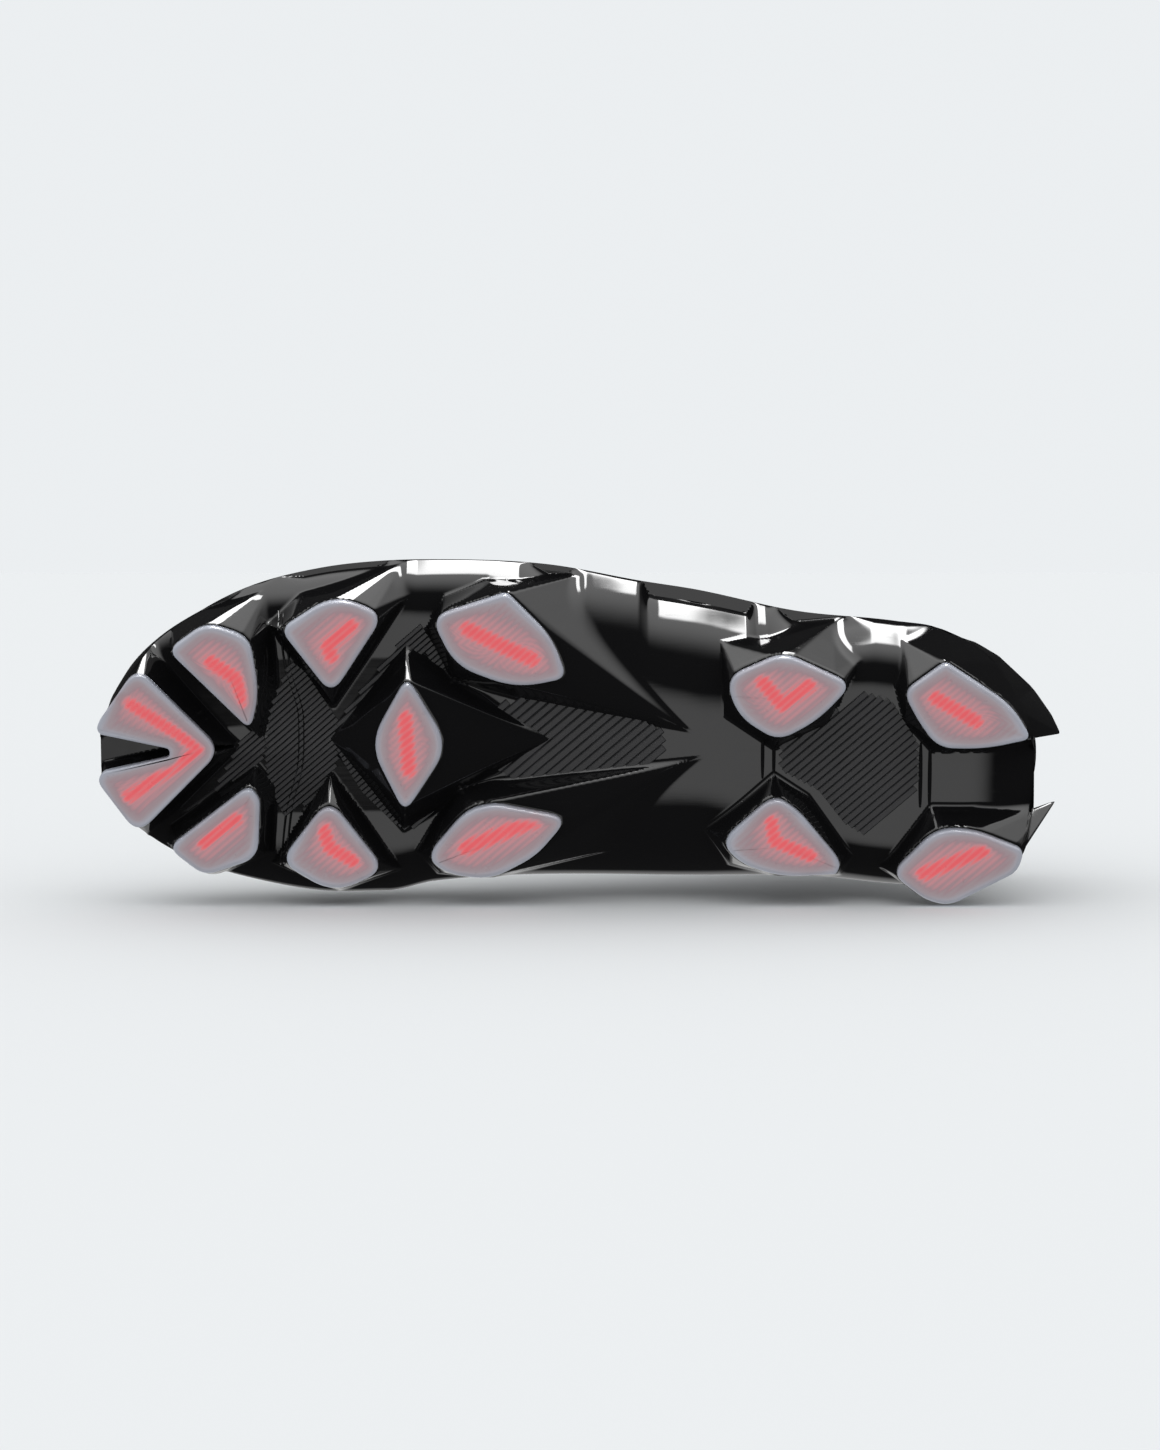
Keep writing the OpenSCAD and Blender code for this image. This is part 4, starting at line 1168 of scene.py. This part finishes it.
def make_camera():
    """Looks at the sole from below, with the boot lying on its inner side."""
    distance, frame_height = 1.6, 0.435
    data = bpy.data.cameras.new("camera")
    data.sensor_width = 36
    data.lens = 36 * distance / frame_height
    camera = bpy.data.objects.new("camera", data)
    bpy.context.scene.collection.objects.link(camera)
    target = Vector((0.0006, 0, 0)) + UP * 0.00473
    spot = target + BACK * distance
    camera.matrix_world = Matrix((
        (RIGHT.x, UP.x, BACK.x, spot.x), (RIGHT.y, UP.y, BACK.y, spot.y),
        (RIGHT.z, UP.z, BACK.z, spot.z), (0, 0, 0, 1)))
    bpy.context.scene.camera = camera


def world_light():
    """Pale studio for the eye; for reflections a dark room with a broad card on the sole's
    side and a bright strip past the outer side; an even dome for matt surfaces."""
    world = bpy.data.worlds.new("studio")
    bpy.context.scene.world = world
    world.use_nodes = True
    tree = world.node_tree
    tree.nodes.clear()

    def node(kind, **values):
        return add_node(tree, kind, **values)

    direction = node("ShaderNodeTexCoord").outputs["Generated"]

    def facing(vector):
        dot = node("ShaderNodeVectorMath", operation="DOT_PRODUCT")
        tree.links.new(direction, dot.inputs[0])
        dot.inputs[1].default_value = Vector(vector).normalized()
        return dot.outputs["Value"]

    def between(value, low, high, soft):
        """1 where value is between low and high, with soft edges."""
        steps = []
        for edge, reach in ((low, soft), (high, -soft)):
            ramp = node("ShaderNodeMapRange", interpolation_type="SMOOTHSTEP",
                        From_Min=edge - reach, From_Max=edge + reach)
            tree.links.new(value, ramp.inputs["Value"])
            steps.append(ramp.outputs["Result"])
        return times(*steps)

    def combine(operation, terms):
        """All the terms, sockets or numbers, joined by one operation."""
        total = terms[0]
        for term in terms[1:]:
            made = node("ShaderNodeMath", operation=operation)
            for socket, value in zip(made.inputs, (total, term)):
                if isinstance(value, (int, float)):
                    socket.default_value = value
                else:
                    tree.links.new(value, socket)
            total = made.outputs[0]
        return total

    def times(*terms):
        return combine("MULTIPLY", terms)

    def plus(*terms):
        return combine("ADD", terms)

    along = facing((1, 0, 0))
    up = facing(UP)
    back = facing(BACK)
    card = times(between(facing((0.0, -0.2, -0.98)), 0.975, 2, 0.022), 1.35)
    strip = times(between(up, 0.90, 2, 0.02), between(along, -0.24, 0.04, 0.025), 20.0)
    glow = times(between(up, 0.62, 2, 0.28), between(back, -0.30, 2, 0.18), 2.6)
    far = times(between(facing((0.2, -0.65, 0.72)), 0.90, 2, 0.05), 0.7)
    mirror = plus(card, strip, glow, far, 0.03)
    key = times(between(facing((0.25, -0.35, 0.9)), 0.2, 2, 0.7), 0.5)
    matt = plus(0.52, times(between(up, 0.3, 2, 0.5), 0.5), times(between(back, 0.2, 2, 0.6), 0.10), key)

    def choose(kind, ray, index, otherwise, chosen):
        """One value for that kind of ray, and the other value for the rest."""
        mix = node("ShaderNodeMix", data_type=kind)
        tree.links.new(path.outputs[ray], mix.inputs[0])
        for socket, value in zip(mix.inputs[index:index + 2], (otherwise, chosen)):
            if isinstance(value, bpy.types.NodeSocket):
                tree.links.new(value, socket)
            else:
                socket.default_value = value
        return mix.outputs[0 if kind == "FLOAT" else 2]

    path = node("ShaderNodeLightPath")
    lit = choose("FLOAT", "Is Glossy Ray", 2, matt, mirror)
    strength = choose("FLOAT", "Is Camera Ray", 2, lit, 1.0)
    colour = choose("RGBA", "Is Camera Ray", 6, (1, 1, 1, 1), (0.835, 0.860, 0.878, 1))
    background = node("ShaderNodeBackground")
    tree.links.new(colour, background.inputs["Color"])
    tree.links.new(strength, background.inputs["Strength"])
    output = node("ShaderNodeOutputWorld")
    tree.links.new(background.outputs[0], output.inputs["Surface"])


def one_sided(name, colour):
    """A matt pale surface that is only seen from its front."""
    shader = Shader(name, colour, 0.9, Specular_IOR_Level=0.0)
    mix = shader.node("ShaderNodeMixShader")
    shader.link(shader.node("ShaderNodeNewGeometry").outputs["Backfacing"], mix, "Fac")
    shader.link(shader.surface.outputs[0], mix, 1)
    shader.link(shader.node("ShaderNodeBsdfTransparent").outputs[0], mix, 2)
    shader.link(mix.outputs[0], shader.tree.nodes["Material Output"], "Surface")
    return shader.material


def stage_plane(name, centre, normal, size, material):
    """A square plane, size metres from its middle to each side, that casts no shadow."""
    mesh = bpy.data.meshes.new(name)
    x = Vector((size, 0, 0))
    y = Vector(normal).cross(x)
    corners = [Vector(centre) + x * a + y * b for a, b in ((-1, -1), (1, -1), (1, 1), (-1, 1))]
    mesh.from_pydata([c[:] for c in corners], [], [(0, 1, 2, 3)])
    mesh.materials.append(material)
    obj = bpy.data.objects.new(name, mesh)
    bpy.context.scene.collection.objects.link(obj)
    obj.visible_diffuse = obj.visible_glossy = obj.visible_shadow = False


# ---------------------------------------------------------------- build
make_camera()
world_light()
bpy.context.scene.view_settings.view_transform = "Standard"

plate = Build()
plate_mesh(plate)
for corners in HEEL_FINS:
    heel_fin(plate, corners)
# Zones of ribs on the floor: outline, pitch, width of a bar
RIB_ZONES = [
    ([[104, -1], [98, 2.5], [94.6, -4], [99, -12], [112, -18.5], [106, -8]], 1.5, 1.05),
    ([[88, 22], [83.5, 18.5], [73.6, 4], [74.6, -2], [73.6, -8], [77, -17], [90, -27], [95, -16],
      [96, -4], [94, 8], [90, 17]], 1.5, 1.08),
    ([[74.6, 1], [70.6, 8], [52.6, 30], [48.6, 33], [44.6, 26.5], [57.6, 13], [62.6, 4], [68.6, 1]],
     1.5, 1.08),
    ([[45.6, 28], [40.6, 21.4], [34.6, 13], [34.6, 5], [38, 6], [43, 16], [47, 24.5]], 1.5, 1.05),
    ([[74.6, -4], [65.6, -6], [60.6, -14.4], [55.6, -22.5], [51.6, -25.6], [53, -31], [57.6, -28],
      [66.6, -18.5], [71.6, -10]], 1.5, 1.08),
    ([[51.6, -30], [47.6, -20.5], [33.6, -7], [29.6, -6], [35.6, -14.4], [45.6, -25.6]], 1.5, 1.08),
    ([[29.6, 5], [24.6, 9], [7.6, 13.2], [-8.4, 9], [-24.4, 1], [-25, -4], [-21.4, -10], [-5.4, -16.4],
      [6.6, -19], [20.6, -14.4], [27.6, -10], [28.6, -6]], 2.3, 1.7),
    ([[-83.4, 13], [-93.4, 10], [-101.4, -3], [-102, -14.4], [-99.4, -20.5], [-86.4, -32], [-79.4, -27.7],
      [-71.4, -17.4], [-60, -11.3], [-60, -2], [-69.4, 2], [-79.4, 9]], 2.0, 1.5),
]
ribs = Build()
for outline, pitch, width in RIB_ZONES:
    rib_field(ribs, outline, pitch, width)
# Raised lines: the double bead over the ball of the foot, and the bars that frame the heel
for shift in (0, 1.5):
    bead(plate, [[90 + shift, 37], [88 + shift, 20], [84 + shift, 4], [84.5 + shift, -10],
                 [88 + shift, -24], [90 + shift, -41]], 0.42)
for x in (-54.6, -58.0):
    bead(plate, [[x, 1], [x, -6], [x, -14]], 0.55)
for x in (-102.4, -105.2):
    bead(plate, [[x, -3], [x, -13], [x, -23]], 0.6)
foot_band(plate)
place(plate.object("plate", BLACK_GLOSS, 38), BODY, "plate_black", "outsole_plate")
place(ribs.object("plate_ribs", RIB_SATIN, 30), BODY, "plate_black")
for stud_name, stud in STUDS.items():
    stud_tip(stud_name, stud)
build_upper()
build_fins()
heel_loop_piece()
front_tab_piece()
dress_hidden_nodes()

# The floor that the boot lies on in the photo, and the one that it stands on in other views
LEAN = math.radians(6.5)
FLOOR_GAP = 0.0002
lying = Vector((0, math.cos(LEAN), math.sin(LEAN)))
meshes = [obj.data for obj in bpy.context.scene.objects if obj.type == "MESH"]
lowest = min(lying.dot(v.co) for mesh in meshes for v in mesh.vertices)
pale = one_sided("stage_pale", (0.747, 0.769, 0.783))
stage_plane("floor_lying", lying * (lowest - FLOOR_GAP), lying, 1.5, pale)
stage_plane("floor_standing", (0, 0, -FLOOR_GAP), (0, 0, 1), 2.5, pale)
